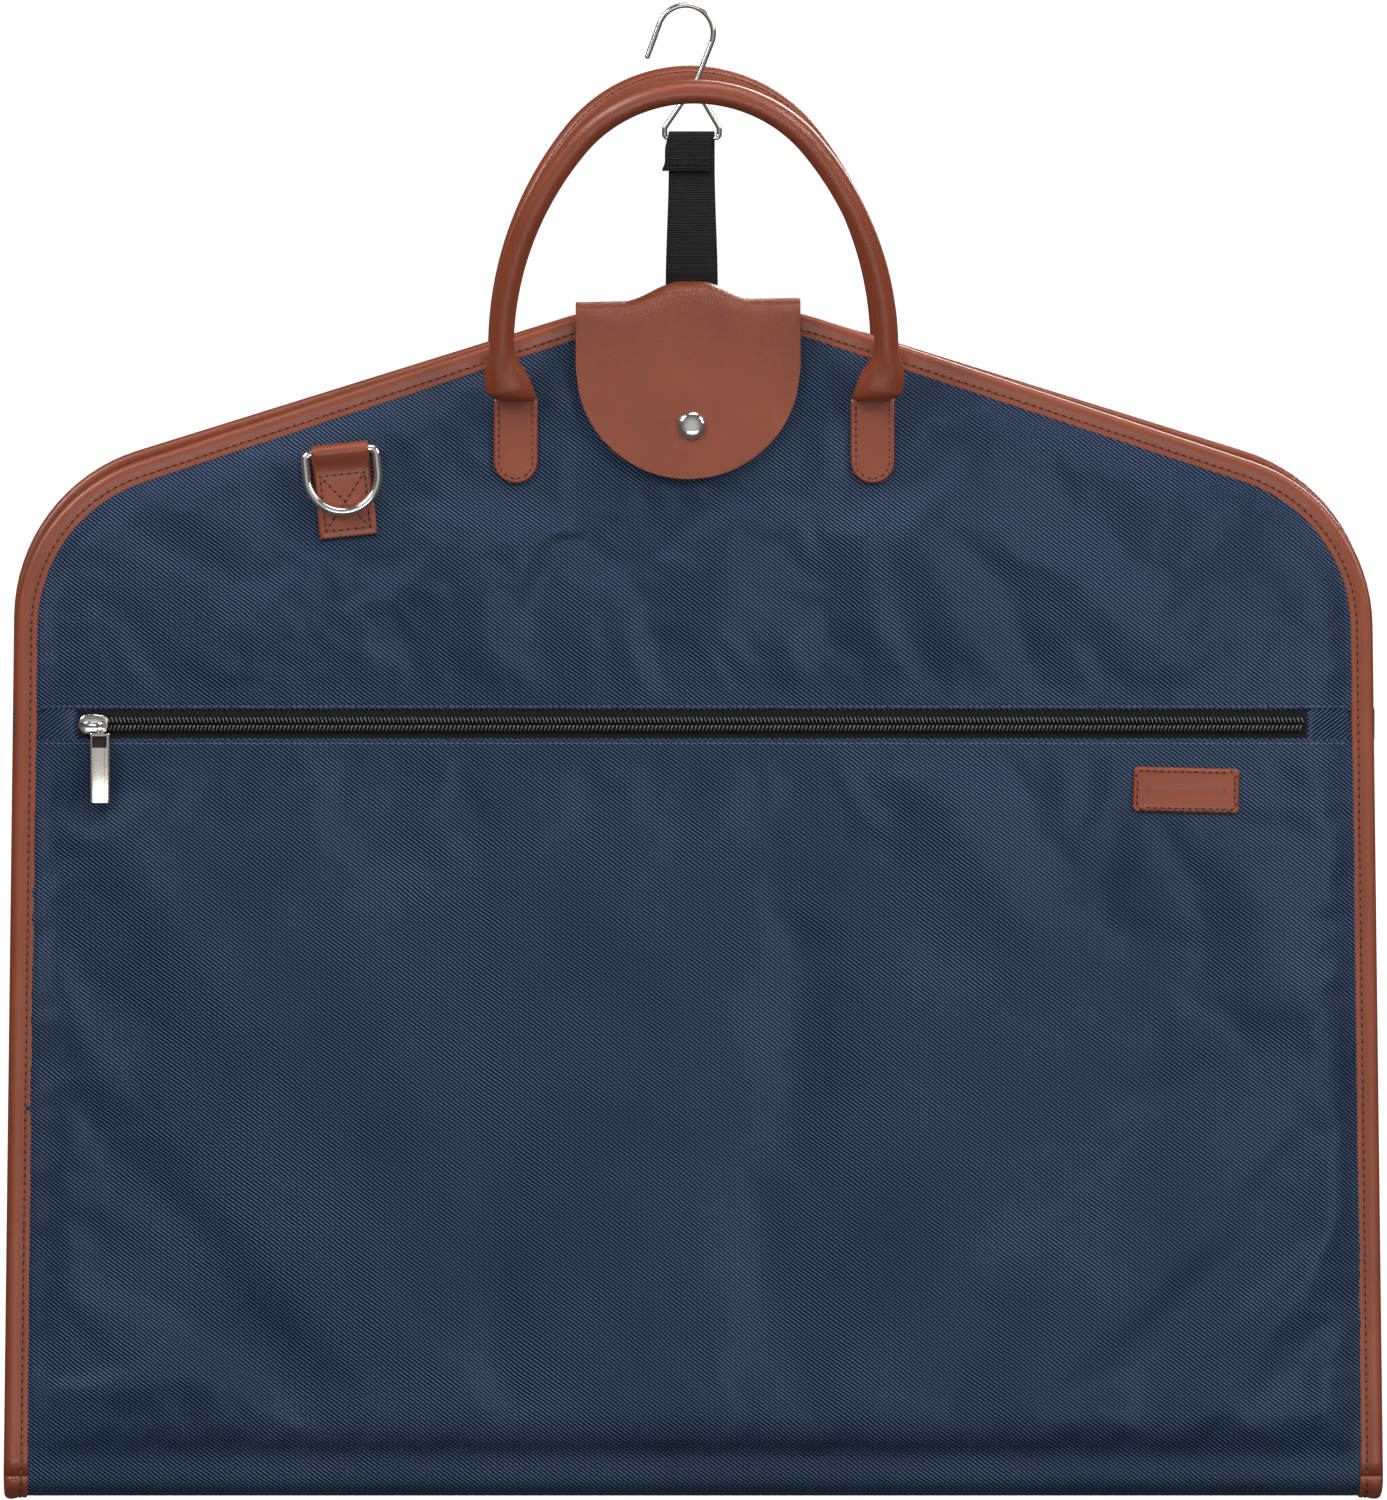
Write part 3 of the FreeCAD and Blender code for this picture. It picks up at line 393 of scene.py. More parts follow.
def twill_material(name, mirrored=False):
    """Navy polyester twill: slanting ribs of light thread with painted sheen on their crests, over gaps of
    painted shade, laid out on the flat cloth.
    """
    rib_angle = math.radians(38)
    rib_pitch = 1.43 * MM
    float_length = 3.1 * MM
    # light is the thread colour brightened with painted sheen; gap is near-black painted shade between the
    # ribs
    base, light, gap = (0.0078, 0.0178, 0.046), (0.120, 0.178, 0.280), (0.0010, 0.0025, 0.009)
    made = new_material(name, base, 0.38, specular_ior_level=0.24, specular_tint=(0.48, 0.66, 1.0, 1.0))
    nodes = Nodes(made)
    flat = nodes.add("ShaderNodeUVMap", uv_map="UVMap").outputs["UV"]
    across, up, _ = nodes.split(flat)
    sine = math.sin(rib_angle) * (-1 if mirrored else 1)
    # which rib a point is on, with a little wander so that the ribs aren't ruled lines
    wander = nodes.math("MULTIPLY", nodes.noise(flat, 55.0, 1.0), 0.9)
    rib = nodes.math("MULTIPLY", across, sine / rib_pitch)
    rib = nodes.math("MULTIPLY_ADD", up, math.cos(rib_angle) / rib_pitch, rib)
    rib = nodes.math("ADD", rib, wander)
    profile = nodes.math("SINE", nodes.math("MULTIPLY", nodes.math("FRACT", rib), math.pi))
    # each rib is a row of floats, shifted from the next rib's
    along = nodes.math("MULTIPLY", across, math.cos(rib_angle) / float_length)
    along = nodes.math("MULTIPLY_ADD", up, -sine / float_length, along)
    along = nodes.math("MULTIPLY_ADD", nodes.math("FLOOR", rib), 0.37, along)
    notch = nodes.math("SINE", nodes.math("MULTIPLY", nodes.math("FRACT", along), math.pi))
    notch = nodes.math("POWER", notch, 0.35)
    height = nodes.math("MULTIPLY", profile, nodes.math("MULTIPLY_ADD", notch, 0.2, 0.8))
    # light thread colour on the crest, partly the thread's own and partly painted sheen; the gap is painted
    # shade
    crest = nodes.math("MULTIPLY", nodes.math("SUBTRACT", height, 0.66), 2.5)
    speckle = nodes.math("MULTIPLY_ADD", nodes.noise(flat, 1400.0, 2.0), 0.7, 0.37)
    crest = nodes.math("MULTIPLY", crest, speckle)
    # painted sheen: the light crest colour grows and fades in soft patches over the cloth
    painted_sheen = nodes.math("MULTIPLY_ADD", nodes.noise(flat, 13.0, 3.0), 1.5, 0.2)
    crest = nodes.math("MULTIPLY", crest, nodes.math("MAXIMUM", painted_sheen, 0.3))
    crest = nodes.clamp(crest, 0.0, 0.8)
    trough = nodes.clamp(nodes.math("MULTIPLY", nodes.math("SUBTRACT", 0.62, height), 2.2))
    # the base colour is lighter and darker in slow patches
    tone = nodes.math("MULTIPLY_ADD", nodes.noise(flat, 9.0, 3.0), 0.5, 0.75)
    patchy_base = nodes.add("ShaderNodeVectorMath", operation="SCALE")
    patchy_base.inputs[0].default_value = base
    nodes.link(tone, patchy_base.inputs["Scale"])
    colour = nodes.mix(trough, nodes.mix(crest, patchy_base.outputs[0], light), gap)
    nodes.finish(colour, nodes.bump(height, 0.7, 0.4 * MM))
    return made


def leather_material(name, base, deep, grain=0.3, roughness=0.36, cell=0.85):
    """Smooth brown leather with a fine grain and slow changes of tone."""
    made = new_material(name, base, roughness, coat_weight=0.15, coat_roughness=0.22)
    nodes = Nodes(made)
    where = nodes.place()
    tone = nodes.clamp(nodes.math("MULTIPLY_ADD", nodes.noise(where, 26.0, 4.0, 0.6), 1.5, -0.25))
    cells = nodes.add("ShaderNodeTexVoronoi", feature="DISTANCE_TO_EDGE")
    cells.inputs["Scale"].default_value = 1 / (cell * MM)
    nodes.link(where, cells.inputs["Vector"])
    grain_height = nodes.math("MINIMUM", cells.outputs["Distance"], 0.28)
    # painted shade: the creases between the grain's cells are a little darker
    crease_shade = nodes.math("MULTIPLY_ADD", grain_height, 0.9 * grain, 1 - 0.25 * grain)
    colour = nodes.mix(nodes.math("MULTIPLY", tone, crease_shade), deep, base)
    slow = nodes.bump(nodes.noise(where, 120.0, 2.0), 0.12, 0.8 * MM)
    nodes.finish(colour, nodes.bump(grain_height, grain, 0.5 * MM, slow))
    return made


def ribbed_material(name, colour, pitch, roughness, axis="Z", strength=0.6):
    """Woven tape: straight ribs across the piece and a fine thread texture."""
    made = new_material(name, colour, roughness, specular_ior_level=0.25)
    nodes = Nodes(made)
    where = nodes.place()
    wave = nodes.math("SINE", nodes.math("MULTIPLY", nodes.split(where)[axis], 2 * math.pi / pitch))
    ribs = nodes.bump(wave, strength, 0.22 * MM)
    # painted shade: the colour darkens between the ribs, where the relief is low
    shade = nodes.math("MULTIPLY_ADD", wave, 0.25, 0.5)
    dark = tuple(0.45 * part for part in colour)
    relief_normal = nodes.bump(nodes.noise(where, 2200.0, 2.0), 0.25, 0.15 * MM, ribs)
    nodes.finish(nodes.mix(shade, dark, colour), relief_normal)
    return made


def metal_material(name, colour, roughness):
    """Plated metal with a slight unevenness."""
    made = new_material(name, colour, roughness, metallic=1.0)
    nodes = Nodes(made)
    nodes.finish(None, nodes.bump(nodes.noise(nodes.place(), 90.0, 1.0), 0.03, 0.4 * MM))
    return made


def fine_material(name, colour, roughness, scale, **extra):
    """Thread, cord or moulded plastic: one colour with fine changes of tone and a fine relief."""
    made = new_material(name, colour, roughness, **extra)
    nodes = Nodes(made)
    grain = nodes.noise(nodes.place(), scale, 2.0)
    dark, light = (tuple(share * part for part in colour) for share in (0.6, 1.4))
    nodes.finish(nodes.mix(grain, dark, light), nodes.bump(grain, 0.2, 0.2 * MM))
    return made


TWILL = twill_material("twill")
PATCH_TWILL = twill_material("twill_mirrored", mirrored=True)
LEATHER = leather_material("leather", (0.300, 0.066, 0.025), (0.215, 0.043, 0.015))
FLAP_LEATHER = leather_material("flap_leather", (0.300, 0.067, 0.026), (0.215, 0.044, 0.016), 0.8, cell=1.15)
NICKEL = metal_material("nickel", (0.80, 0.76, 0.71), 0.13)
PULL_NICKEL = metal_material("pull_nickel", (0.72, 0.66, 0.59), 0.2)
WEBBING = ribbed_material("webbing", (0.012, 0.011, 0.011), 1.05 * MM, 0.55, strength=0.9)
TAPE = ribbed_material("zip_tape", (0.008, 0.008, 0.009), 1.3 * MM, 0.75, axis="X", strength=0.4)
COIL = fine_material("zip_coil", (0.030, 0.028, 0.027), 0.3, 400.0, coat_weight=1.0, coat_roughness=0.2)
LINING = fine_material("lining", (0.020, 0.022, 0.030), 0.45, 900.0)
CORD = fine_material("cord_core", (0.55, 0.52, 0.45), 0.8, 700.0)
THREAD = fine_material("brown_thread", (0.23, 0.058, 0.028), 0.6, 2500.0)
# painted shade stands in for the dark of the needle holes
HOLE_SHADE = fine_material("stitch_hole_shade", (0.030, 0.008, 0.005), 0.8, 1500.0)
BLUE_THREAD = fine_material("blue_thread", (0.050, 0.095, 0.205), 0.5, 2500.0)
# near-black painted shade for the pull's sunk window
WINDOW_SHADE = fine_material("painted_window_shade", (0.008, 0.007, 0.006), 0.8, 500.0)


# ---- general pieces


def loft(name, rings, material, closed_ring=True):
    """A skin over equal-length rings of points; closed rings get flat caps at the two ends."""
    rings = np.asarray(rings, float)
    count, size = rings.shape[:2]
    faces = []
    around = size if closed_ring else size - 1
    for i in range(count - 1):
        for j in range(around):
            k = (j + 1) % size
            faces.append((i * size + j, i * size + k, (i + 1) * size + k, (i + 1) * size + j))
    if closed_ring:
        faces.append(tuple(range(size))[::-1])
        faces.append(tuple((count - 1) * size + j for j in range(size)))
    return make_object(name, rings.reshape(-1, 3), faces, material)


BEAD_RINGS = ((-0.86, 0.62), (-0.45, 1.0), (0.45, 1.0), (0.86, 0.62))
BEAD_SIDES = 6


def bead_template():
    """A long bead along X: points on rings between two tips, and its faces."""
    points = [(-1.0, 0.0, 0.0)]
    for along, radius in BEAD_RINGS:
        for angle in circle_angles(BEAD_SIDES):
            points.append((along, radius * math.cos(angle), radius * math.sin(angle)))
    points.append((1.0, 0.0, 0.0))
    last = len(points) - 1
    faces = []
    for side in range(BEAD_SIDES):
        nxt = (side + 1) % BEAD_SIDES
        faces.append((0, 1 + nxt, 1 + side))
        for ring in range(len(BEAD_RINGS) - 1):
            low = 1 + ring * BEAD_SIDES
            high = low + BEAD_SIDES
            faces.append((low + side, low + nxt, high + nxt, high + side))
        top = 1 + (len(BEAD_RINGS) - 1) * BEAD_SIDES
        faces.append((top + side, top + nxt, last))
    return np.array(points), faces


BEAD_POINTS, BEAD_FACES = bead_template()


def bead_cloud(name, groups):
    """Many beads in one mesh; a group is material, centres, ways, normals, half length, width and height."""
    points, faces, slots, materials = [], [], [], []
    for slot, (material, centres, ways, normals, length, width, height) in enumerate(groups):
        materials.append(material)
        centres, ways, normals = (np.asarray(a, float) for a in (centres, ways, normals))
        ways = unit(ways)
        sides = unit(np.cross(normals, ways))
        normals = np.cross(ways, sides)
        for centre, way, side, normal in zip(centres, ways, sides, normals):
            start = len(points) * len(BEAD_POINTS)
            axes = np.stack([way * length, side * width, normal * height])
            points.append(centre + BEAD_POINTS @ axes)
            faces.extend(tuple(corner + start for corner in face) for face in BEAD_FACES)
            slots.extend([slot] * len(BEAD_FACES))
    obj = make_object(name, np.concatenate(points), faces, materials)
    obj.data.polygons.foreach_set("material_index", slots)
    return obj


def along_path(points, normals, pitch):
    """Evenly spaced places on a path: centres, directions and normals."""
    points, normals = np.asarray(points, float), np.asarray(normals, float)
    run = run_along(points)
    count = max(2, int(run[-1] / pitch))
    marks = (np.arange(count) + 0.5) * run[-1] / count

    def sample(rows, shift=0.0):
        """The rows' values at the marks, moved along the path by a shift."""
        return np.stack([np.interp(marks + shift, run, rows[:, k]) for k in range(3)], 1)
    return sample(points), sample(points, 0.3) - sample(points, -0.3), sample(normals)


def leather_stitches(name, paths, pitch=3.5, thread=0.34, hole=0.42):
    """Sewing on leather: a sunk thread between needle holes of dark painted shade."""
    groups = []
    for points, normals in paths:
        centres, ways, facing = along_path(points, normals, pitch)
        groups.append((THREAD, centres, ways, facing, 0.30 * pitch, thread, 0.30))
        groups.append((HOLE_SHADE, centres + unit(ways) * pitch / 2, ways, facing, 0.62 * hole * pitch, hole, 0.22))
    return bead_cloud(name, groups)


def thread_line(name, points, normals, material, pitch, thick):
    """A row of plain stitches of one thread."""
    centres, ways, facing = along_path(points, normals, pitch)
    return bead_cloud(name, [(material, centres, ways, facing, 0.42 * pitch, thick, thick * 0.8)])


def tube(name, points, radius, material, sides, normal=(0, 1, 0)):
    """A round bar along a path; radius is a number, or a pair: in the path's plane and across it."""
    points = np.asarray(points, float)
    ahead = unit(np.gradient(points, axis=0))
    first = unit(np.cross(ahead, np.asarray(normal, float)))
    second = np.cross(first, ahead)
    angles = circle_angles(sides)
    radii = np.broadcast_to(radius, (len(points), 2))
    rings = [
        p + np.outer(np.cos(angles), a * r[0]) + np.outer(np.sin(angles), b * r[1])
        for p, a, b, r in zip(points, first, second, radii)
    ]
    return loft(name, rings, material)


def relief(name, outline, spacing, height, to_bag, material, edge):
    """A plate with a shaped front: height(distance to edge, x, z) over a flat back, placed by to_bag."""
    rings = [inset_ring(outline, edge * share) for share in (0.12, 0.4, 1.0)]
    low_points, faces = fill(outline, spacing, [np.concatenate([ring, ring[:1]]) for ring in rings])
    border = len(outline)
    x, z = low_points[:, 0], low_points[:, 1]
    front = np.stack([x, height(distance_to(low_points, outline, closed=True), x, z), z], 1)
    back = np.stack([outline[:, 0], np.zeros(border), outline[:, 1]], 1)
    index = {}
    for number, point in enumerate(low_points):
        index.setdefault((round(point[0], 3), round(point[1], 3)), number)
    rim = [index[(round(p[0], 3), round(p[1], 3))] for p in outline]
    base = len(front)
    for i in range(border):
        j = (i + 1) % border
        faces.append((rim[j], rim[i], base + i, base + j))
    faces.append(tuple(base + i for i in range(border)))
    return make_object(name, to_bag(np.concatenate([front, back])), faces, material)


def grid_plate(name, columns, rows, height, to_bag, materials, is_second):
    """A rectangular plate with a shaped front over a flat back; is_second picks the second material."""
    across, up = np.meshgrid(columns, rows)
    front = np.stack([across, height(across, up), up], -1).reshape(-1, 3)
    wide, tall, count = len(columns), len(rows), across.size
    faces, slots = [], []
    for row in range(tall - 1):
        for column in range(wide - 1):
            first = row * wide + column
            faces.append((first, first + 1, first + wide + 1, first + wide))
            middle = front[list(faces[-1])].mean(0)
            slots.append(int(is_second(middle[0], middle[2])))
    right = [row * wide + wide - 1 for row in range(1, tall - 1)]
    left = [row * wide for row in range(tall - 2, 0, -1)]
    rim = list(range(wide)) + right + list(range(count - 1, count - wide - 1, -1)) + left
    for first, second in zip(rim, rim[1:] + rim[:1]):
        faces.append((second, first, count + first, count + second))
    faces.append(tuple(count + corner for corner in reversed(rim)))
    obj = make_object(name, to_bag(np.concatenate([front, front * (1, 0, 1)])), faces, materials)
    slots += [0] * (len(faces) - len(slots))
    obj.data.polygons.foreach_set("material_index", slots)
    obj.data.set_sharp_from_angle(angle=math.radians(32))
    return obj


def rounded_rectangle(width, height, radius, steps=5):
    """A closed outline with round corners, counter-clockwise, about the origin."""
    points = []
    for x_way, z_way, start in ((1, -1, -90), (1, 1, 0), (-1, 1, 90), (-1, -1, 180)):
        for angle in np.linspace(start, start + 90, steps):
            radians = math.radians(angle)
            points.append((
                x_way * (width / 2 - radius) + radius * math.cos(radians),
                z_way * (height / 2 - radius) + radius * math.sin(radians),
            ))
    return refine(np.array(points), min(width, height) / 6)


def refine(outline, step):
    """Split long steps of a closed outline."""
    points = []
    for start, end in zip(outline, np.roll(outline, -1, 0)):
        count = max(1, int(np.linalg.norm(end - start) / step))
        for share in range(count):
            points.append(start + (end - start) * share / count)
    return np.array(points)


def soft_edge(thick, radius):
    """A plate height with a rounded edge."""
    def height(distance):
        """Height at a distance from the edge."""
        short = radius - np.minimum(distance, radius)
        return thick - radius + np.sqrt(np.maximum(radius * radius - short * short, 0))
    return height


def on_leaf(side, x, z, depth, tilt=0.0):
    """Moves a plate onto a leaf's outer face at x, z, its front looking out; tilt is in degrees."""
    angle = math.radians(tilt)
    way = -OUTWARD[side]

    def to_bag(points):
        """Plate coordinates (across, out, up) to the bag."""
        across = points[:, 0] * math.cos(angle) + points[:, 2] * math.sin(angle)
        up = -points[:, 0] * math.sin(angle) + points[:, 2] * math.cos(angle)
        return np.stack([way * (x + LEAF_SHIFT + across), OUTWARD[side] * (depth + points[:, 1]), z + up], 1)
    return to_bag


# ---- twill panels

RISE_RUN = 22
FOLD_GAIN = 3.3
CLOTH_SPACING = 6.5
TOP_EDGE = {"upper": ZIP_CENTRE + ZIP_OPENING / 2, "lower": ZIP_CENTRE - ZIP_OPENING / 2}
HEM_ROWS = (0.4, 1.0, 1.9, 3.2, 4.8)
HELD_SOFTEN = 5
FRONT_STEPS, WIDE_STEPS, HEM_STEPS, FOLD_ROWS, FOLD_STEPS = 54, 96, 120, 9, 90
CLOTH_FRAMES = 20
# areas of the leaves that are sewn down or covered: x from, x to, z from, z to, seen from outside
FLAP_AREA = (-52.5, 48.5, 449, 530)
LABEL_AREA = (192, 243, 300, 325)
RING_TAB_AREA = (-174, -138, 422, 470)

# soft folds of the front: start, end, half width, height
FRONT_FOLDS = (
    ((52, 492), (138, 360), 13, 1.3),
    ((92, 452), (232, 360), 15, 1.2),
    ((70, 442), (86, 358), 9, 0.8),
    ((-84, 446), (-168, 358), 13, 1.1),
    ((-50, 458), (-116, 360), 11, 0.9),
    ((16, 448), (4, 358), 12, 0.7),
    ((-160, 424), (-212, 356), 9, 0.8),
    ((150, 392), (176, 356), 7, 0.6),
    ((-30, 384), (-24, 354), 6, 0.5),
    ((40, 384), (48, 354), 6, 0.5),
    ((230, 330), (262, 210), 14, 0.9),
    ((-262, 300), (-190, 190), 16, 0.9),
    ((96, 330), (176, 214), 18, 0.8),
    ((-292, 44), (-196, 58), 6, 0.9),
    ((-290, 24), (-206, 30), 5, 0.8),
    ((-294, 250), (-258, 176), 8, 0.9),
    ((292, 120), (236, 60), 9, 0.7),
)
REAR_FOLDS = (
    ((84, 448), (160, 360), 13, 1.0),
    ((-84, 448), (-150, 352), 12, 1.0),
    ((20, 440), (60, 300), 20, 0.8),
    ((-120, 250), (-40, 90), 24, 0.9),
    ((230, 300), (180, 150), 18, 0.8),
)


def leaf_depth(side, distance):
    """Depth of the twill's outer face: a flat rim under the edging, then a quick rise to the crown."""
    share = np.clip((distance - BINDING_WIDTH) / RISE_RUN, 0, 1)
    return RIM_DEPTH + (CROWN[side] - RIM_DEPTH) * (1 - (1 - share) ** 2)


def edge_distance(side, x, z):
    """Distance to a leaf's outline, its foot included."""
    path = leaf_path(side)[0]
    return distance_to(np.stack([x, z], 1), path, closed=True)


def held_areas(side):
    """Rectangles of a leaf's outer face that are sewn down, as x and z limits seen from outside."""
    tab_top = span(f"{side}_handle_tab_left")[1].z + 18
    areas = [(way * TAB_CENTRE - 12, way * TAB_CENTRE + 12, 446, tab_top) for way in (-1, 1)]
    areas.append(RING_TAB_AREA)
    return areas + [FLAP_AREA, LABEL_AREA] if side == "front" else areas


def held_share(side, x, z, soften=24):
    """1 on sewn-down areas and on the zip's hems, falling to 0 around them."""
    held = np.zeros(len(x))
    for low_x, high_x, low_z, high_z in held_areas(side):
        gap_x = np.maximum(np.maximum(low_x - x, x - high_x), 0)
        gap_z = np.maximum(np.maximum(low_z - z, z - high_z), 0)
        held = np.maximum(held, 1 - smooth_step(0, soften, np.hypot(gap_x, gap_z)))
    if side == "front":
        held = np.maximum(held, 1 - smooth_step(ZIP_STITCH + 1.5, ZIP_STITCH + 16, np.abs(z - ZIP_CENTRE)))
    return held


def under_edging(distance):
    """1 under the edging, falling to 0 beside it."""
    return 1 - smooth_step(BINDING_WIDTH, BINDING_WIDTH + HELD_SOFTEN, distance)


def drape(side, x, z, distance):
    """Outward rise of the soft folds and slow waves of a leaf's outer face."""
    rise = np.zeros(len(x))
    for start, end, half, high in FRONT_FOLDS if side == "front" else REAR_FOLDS:
        start, run = np.array(start, float), np.subtract(end, start)
        relative = np.stack([x, z], 1) - start
        share = relative @ run / (run @ run)
        aside = np.abs(relative[:, 0] * run[1] - relative[:, 1] * run[0]) / np.linalg.norm(run)
        lengthwise = smooth_step(-0.12, 0.15, share) * (1 - smooth_step(0.55, 1.15, share))
        width = half * (0.85 + 0.7 * np.clip(share, 0, 1))
        rise += FOLD_GAIN * high * lengthwise * np.exp(-((aside / width) ** 2))
    # long slow waves and shorter ones, with different chance for each leaf
    offset = 300 if side == "front" else 900
    slow, short = 0.9, 0.35
    waves = [
        slow * noise.noise(Vector((a / 95 + offset, b / 120, 0)))
        + short * noise.noise(Vector((a / 34, b / 46 + offset, 5)))
        for a, b in zip(x, z)
    ]
    return (rise + np.array(waves)) * smooth_step(BINDING_WIDTH, 34, distance) * (1 - held_share(side, x, z))


def wrap(x, run, distance):
    """Flat cloth to the bag: run counts along the cloth from the fold's middle, front up and rear down."""
    sign = np.where(run >= 0, -1.0, 1.0)
    height = FOLD_AXIS + np.abs(run) - FOLD_RUN
    angle = np.clip(run / RIM_DEPTH, -math.pi / 2, math.pi / 2)
    on_fold = np.abs(run) <= FOLD_RUN
    depth = np.where(run >= 0, leaf_depth("front", distance), leaf_depth("rear", distance))
    y = np.where(on_fold, -RIM_DEPTH * np.sin(angle), sign * depth)
    z = np.where(on_fold, FOLD_AXIS - RIM_DEPTH * np.cos(angle), height)
    shift = LEAF_SHIFT * np.clip(run / FOLD_RUN, -1, 1)
    return np.stack([x + shift, y, z], 1)


def relax_cloth(obj, held, cap, pressure, seed):
    """Let a cloth panel settle with its sewn parts held, then keep its movement under a cap."""
    start = coordinates(obj)
    group = obj.vertex_groups.new(name="held")
    for number, weight in enumerate(held):
        if weight > 0.02:
            group.add([number], float(weight), "REPLACE")
    cloth = obj.modifiers.new("Cloth", "CLOTH")
    settings = cloth.settings
    settings.quality = 5
    settings.mass = 0.2
    settings.tension_stiffness = 12
    settings.compression_stiffness = 12
    settings.shear_stiffness = 6
    settings.bending_stiffness = 1.5
    settings.shrink_min = -0.012
    settings.use_pressure = True
    settings.uniform_pressure_force = pressure
    settings.effector_weights.gravity = 0
    settings.vertex_group_mass = "held"
    cloth.point_cache.frame_start = 1
    cloth.point_cache.frame_end = CLOTH_FRAMES
    # a small seeded unevenness decides where the slack cloth buckles
    chance = random.Random(seed)
    uneven = np.array([chance.uniform(-0.12, 0.12) * MM * (1 - h) for h in held])
    nudged = start.copy()
    nudged[:, 1] += uneven
    obj.data.vertices.foreach_set("co", nudged.ravel())
    scene = bpy.context.scene
    for number in range(1, CLOTH_FRAMES + 1):
        scene.frame_set(number)
    done = bpy.data.meshes.new_from_object(obj.evaluated_get(bpy.context.evaluated_depsgraph_get()))
    moved = np.empty(len(start) * 3)
    done.vertices.foreach_get("co", moved)
    bpy.data.meshes.remove(done)
    obj.modifiers.clear()
    obj.vertex_groups.clear()
    scene.frame_set(1)
    shift = moved.reshape(-1, 3) - start
    length = np.linalg.norm(shift, axis=1)
    shift *= (np.minimum(length, cap * MM) / np.maximum(length, 1e-9))[:, None]
    shift *= (1 - np.asarray(held))[:, None]
    obj.data.vertices.foreach_set("co", (start + shift).ravel())


def roll_hem(obj, edge, upward):
    """Turn a panel's zip edge under, and press its stitch row in."""
    points = coordinates(obj)
    height = points[:, 2] / MM + HANG_HEIGHT
    inside = (height - edge) * (1 if upward else -1)
    front = points[:, 1] < -CROWN["front"] * MM * 0.7
    short = np.clip((1.2 - inside) / 1.2, 0, 1)
    lift = 1.2 * (1 - np.sqrt(1 - short**2)) + 0.3 * np.exp(-(((inside - 1.9) / 0.8) ** 2))
    points[:, 1] += np.where(front, lift * MM, 0)
    obj.data.vertices.foreach_set("co", points.ravel())


def smooth_once(obj):
    """One subdivision of the finished cloth."""
    add_modifier(obj, "SUBSURF", levels=1, render_levels=1)
    settle(obj)
    obj.data.shade_smooth()


def twill_body():
    """One twill cloth from the pocket zip down, round the fold and up the rear leaf."""
    top_run = TOP_EDGE["lower"] - FOLD_AXIS + FOLD_RUN
    heights = np.linspace(FOLD_AXIS, TOP_EDGE["lower"], FRONT_STEPS)
    half = side_edge(heights) - SHEET_INSET
    front_side = np.stack([half, heights - FOLD_AXIS + FOLD_RUN], 1)
    rear_points, rear_ways = leaf_path("rear")
    rear_points = rear_points - SHEET_INSET * rear_ways
    rear = np.stack([rear_points[:, 0], FOLD_AXIS - rear_points[:, 1] - FOLD_RUN], 1)
    fold_rows = np.linspace(-FOLD_RUN, FOLD_RUN, FOLD_ROWS)
    bend = fold_rows[1:-1]
    half_fold = HALF_BOTTOM - SHEET_INSET
    top = np.linspace(half[-1], -half[-1], WIDE_STEPS)[1:-1]
    outline = np.concatenate([
        front_side,
        level_row(top, top_run),
        front_side[::-1] * (-1, 1),
        level_row(bend[::-1], -half_fold)[:, ::-1],
        rear[::-1],
        level_row(bend, half_fold)[:, ::-1],
    ])
    across = np.linspace(-half[-1] + 2, half[-1] - 2, HEM_STEPS)
    extra = [level_row(across, top_run - row) for row in HEM_ROWS]
    # rows of points round the fold, so that it stays round
    across_fold = np.linspace(-half_fold + 3, half_fold - 3, FOLD_STEPS)
    extra += [level_row(across_fold, row) for row in fold_rows]
    flat, faces = fill(outline, CLOTH_SPACING, extra, clear=0.45)
    x, run = flat[:, 0], flat[:, 1]
    z = FOLD_AXIS + np.abs(run) - FOLD_RUN
    on_front = run >= 0
    distance = np.where(on_front, edge_distance("front", x, z), edge_distance("rear", x, z))
    distance = np.where(np.abs(run) <= FOLD_RUN, 0, distance)
    points = wrap(x, run, distance)
    rise = np.where(on_front, drape("front", x, z, distance), drape("rear", -x, z, distance))
    points[:, 1] += np.where(on_front, -rise, rise)
    obj = make_object("twill_body", points, faces, TWILL)
    set_uv(obj, flat)
    held = np.where(on_front, held_share("front", x, z, HELD_SOFTEN), held_share("rear", -x, z, HELD_SOFTEN))
    held = np.maximum(held, under_edging(distance))
    relax_cloth(obj, held, 2.4, 0.35, 3)
    smooth_once(obj)
    roll_hem(obj, TOP_EDGE["lower"], False)
    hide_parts("front_pocket_panel", "fold_strip", "rear_outer_panel")
    start, end = (place(0, depth, FOLD_AXIS) for depth in (-SEAM_DEPTH, SEAM_DEPTH))
    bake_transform(obj)


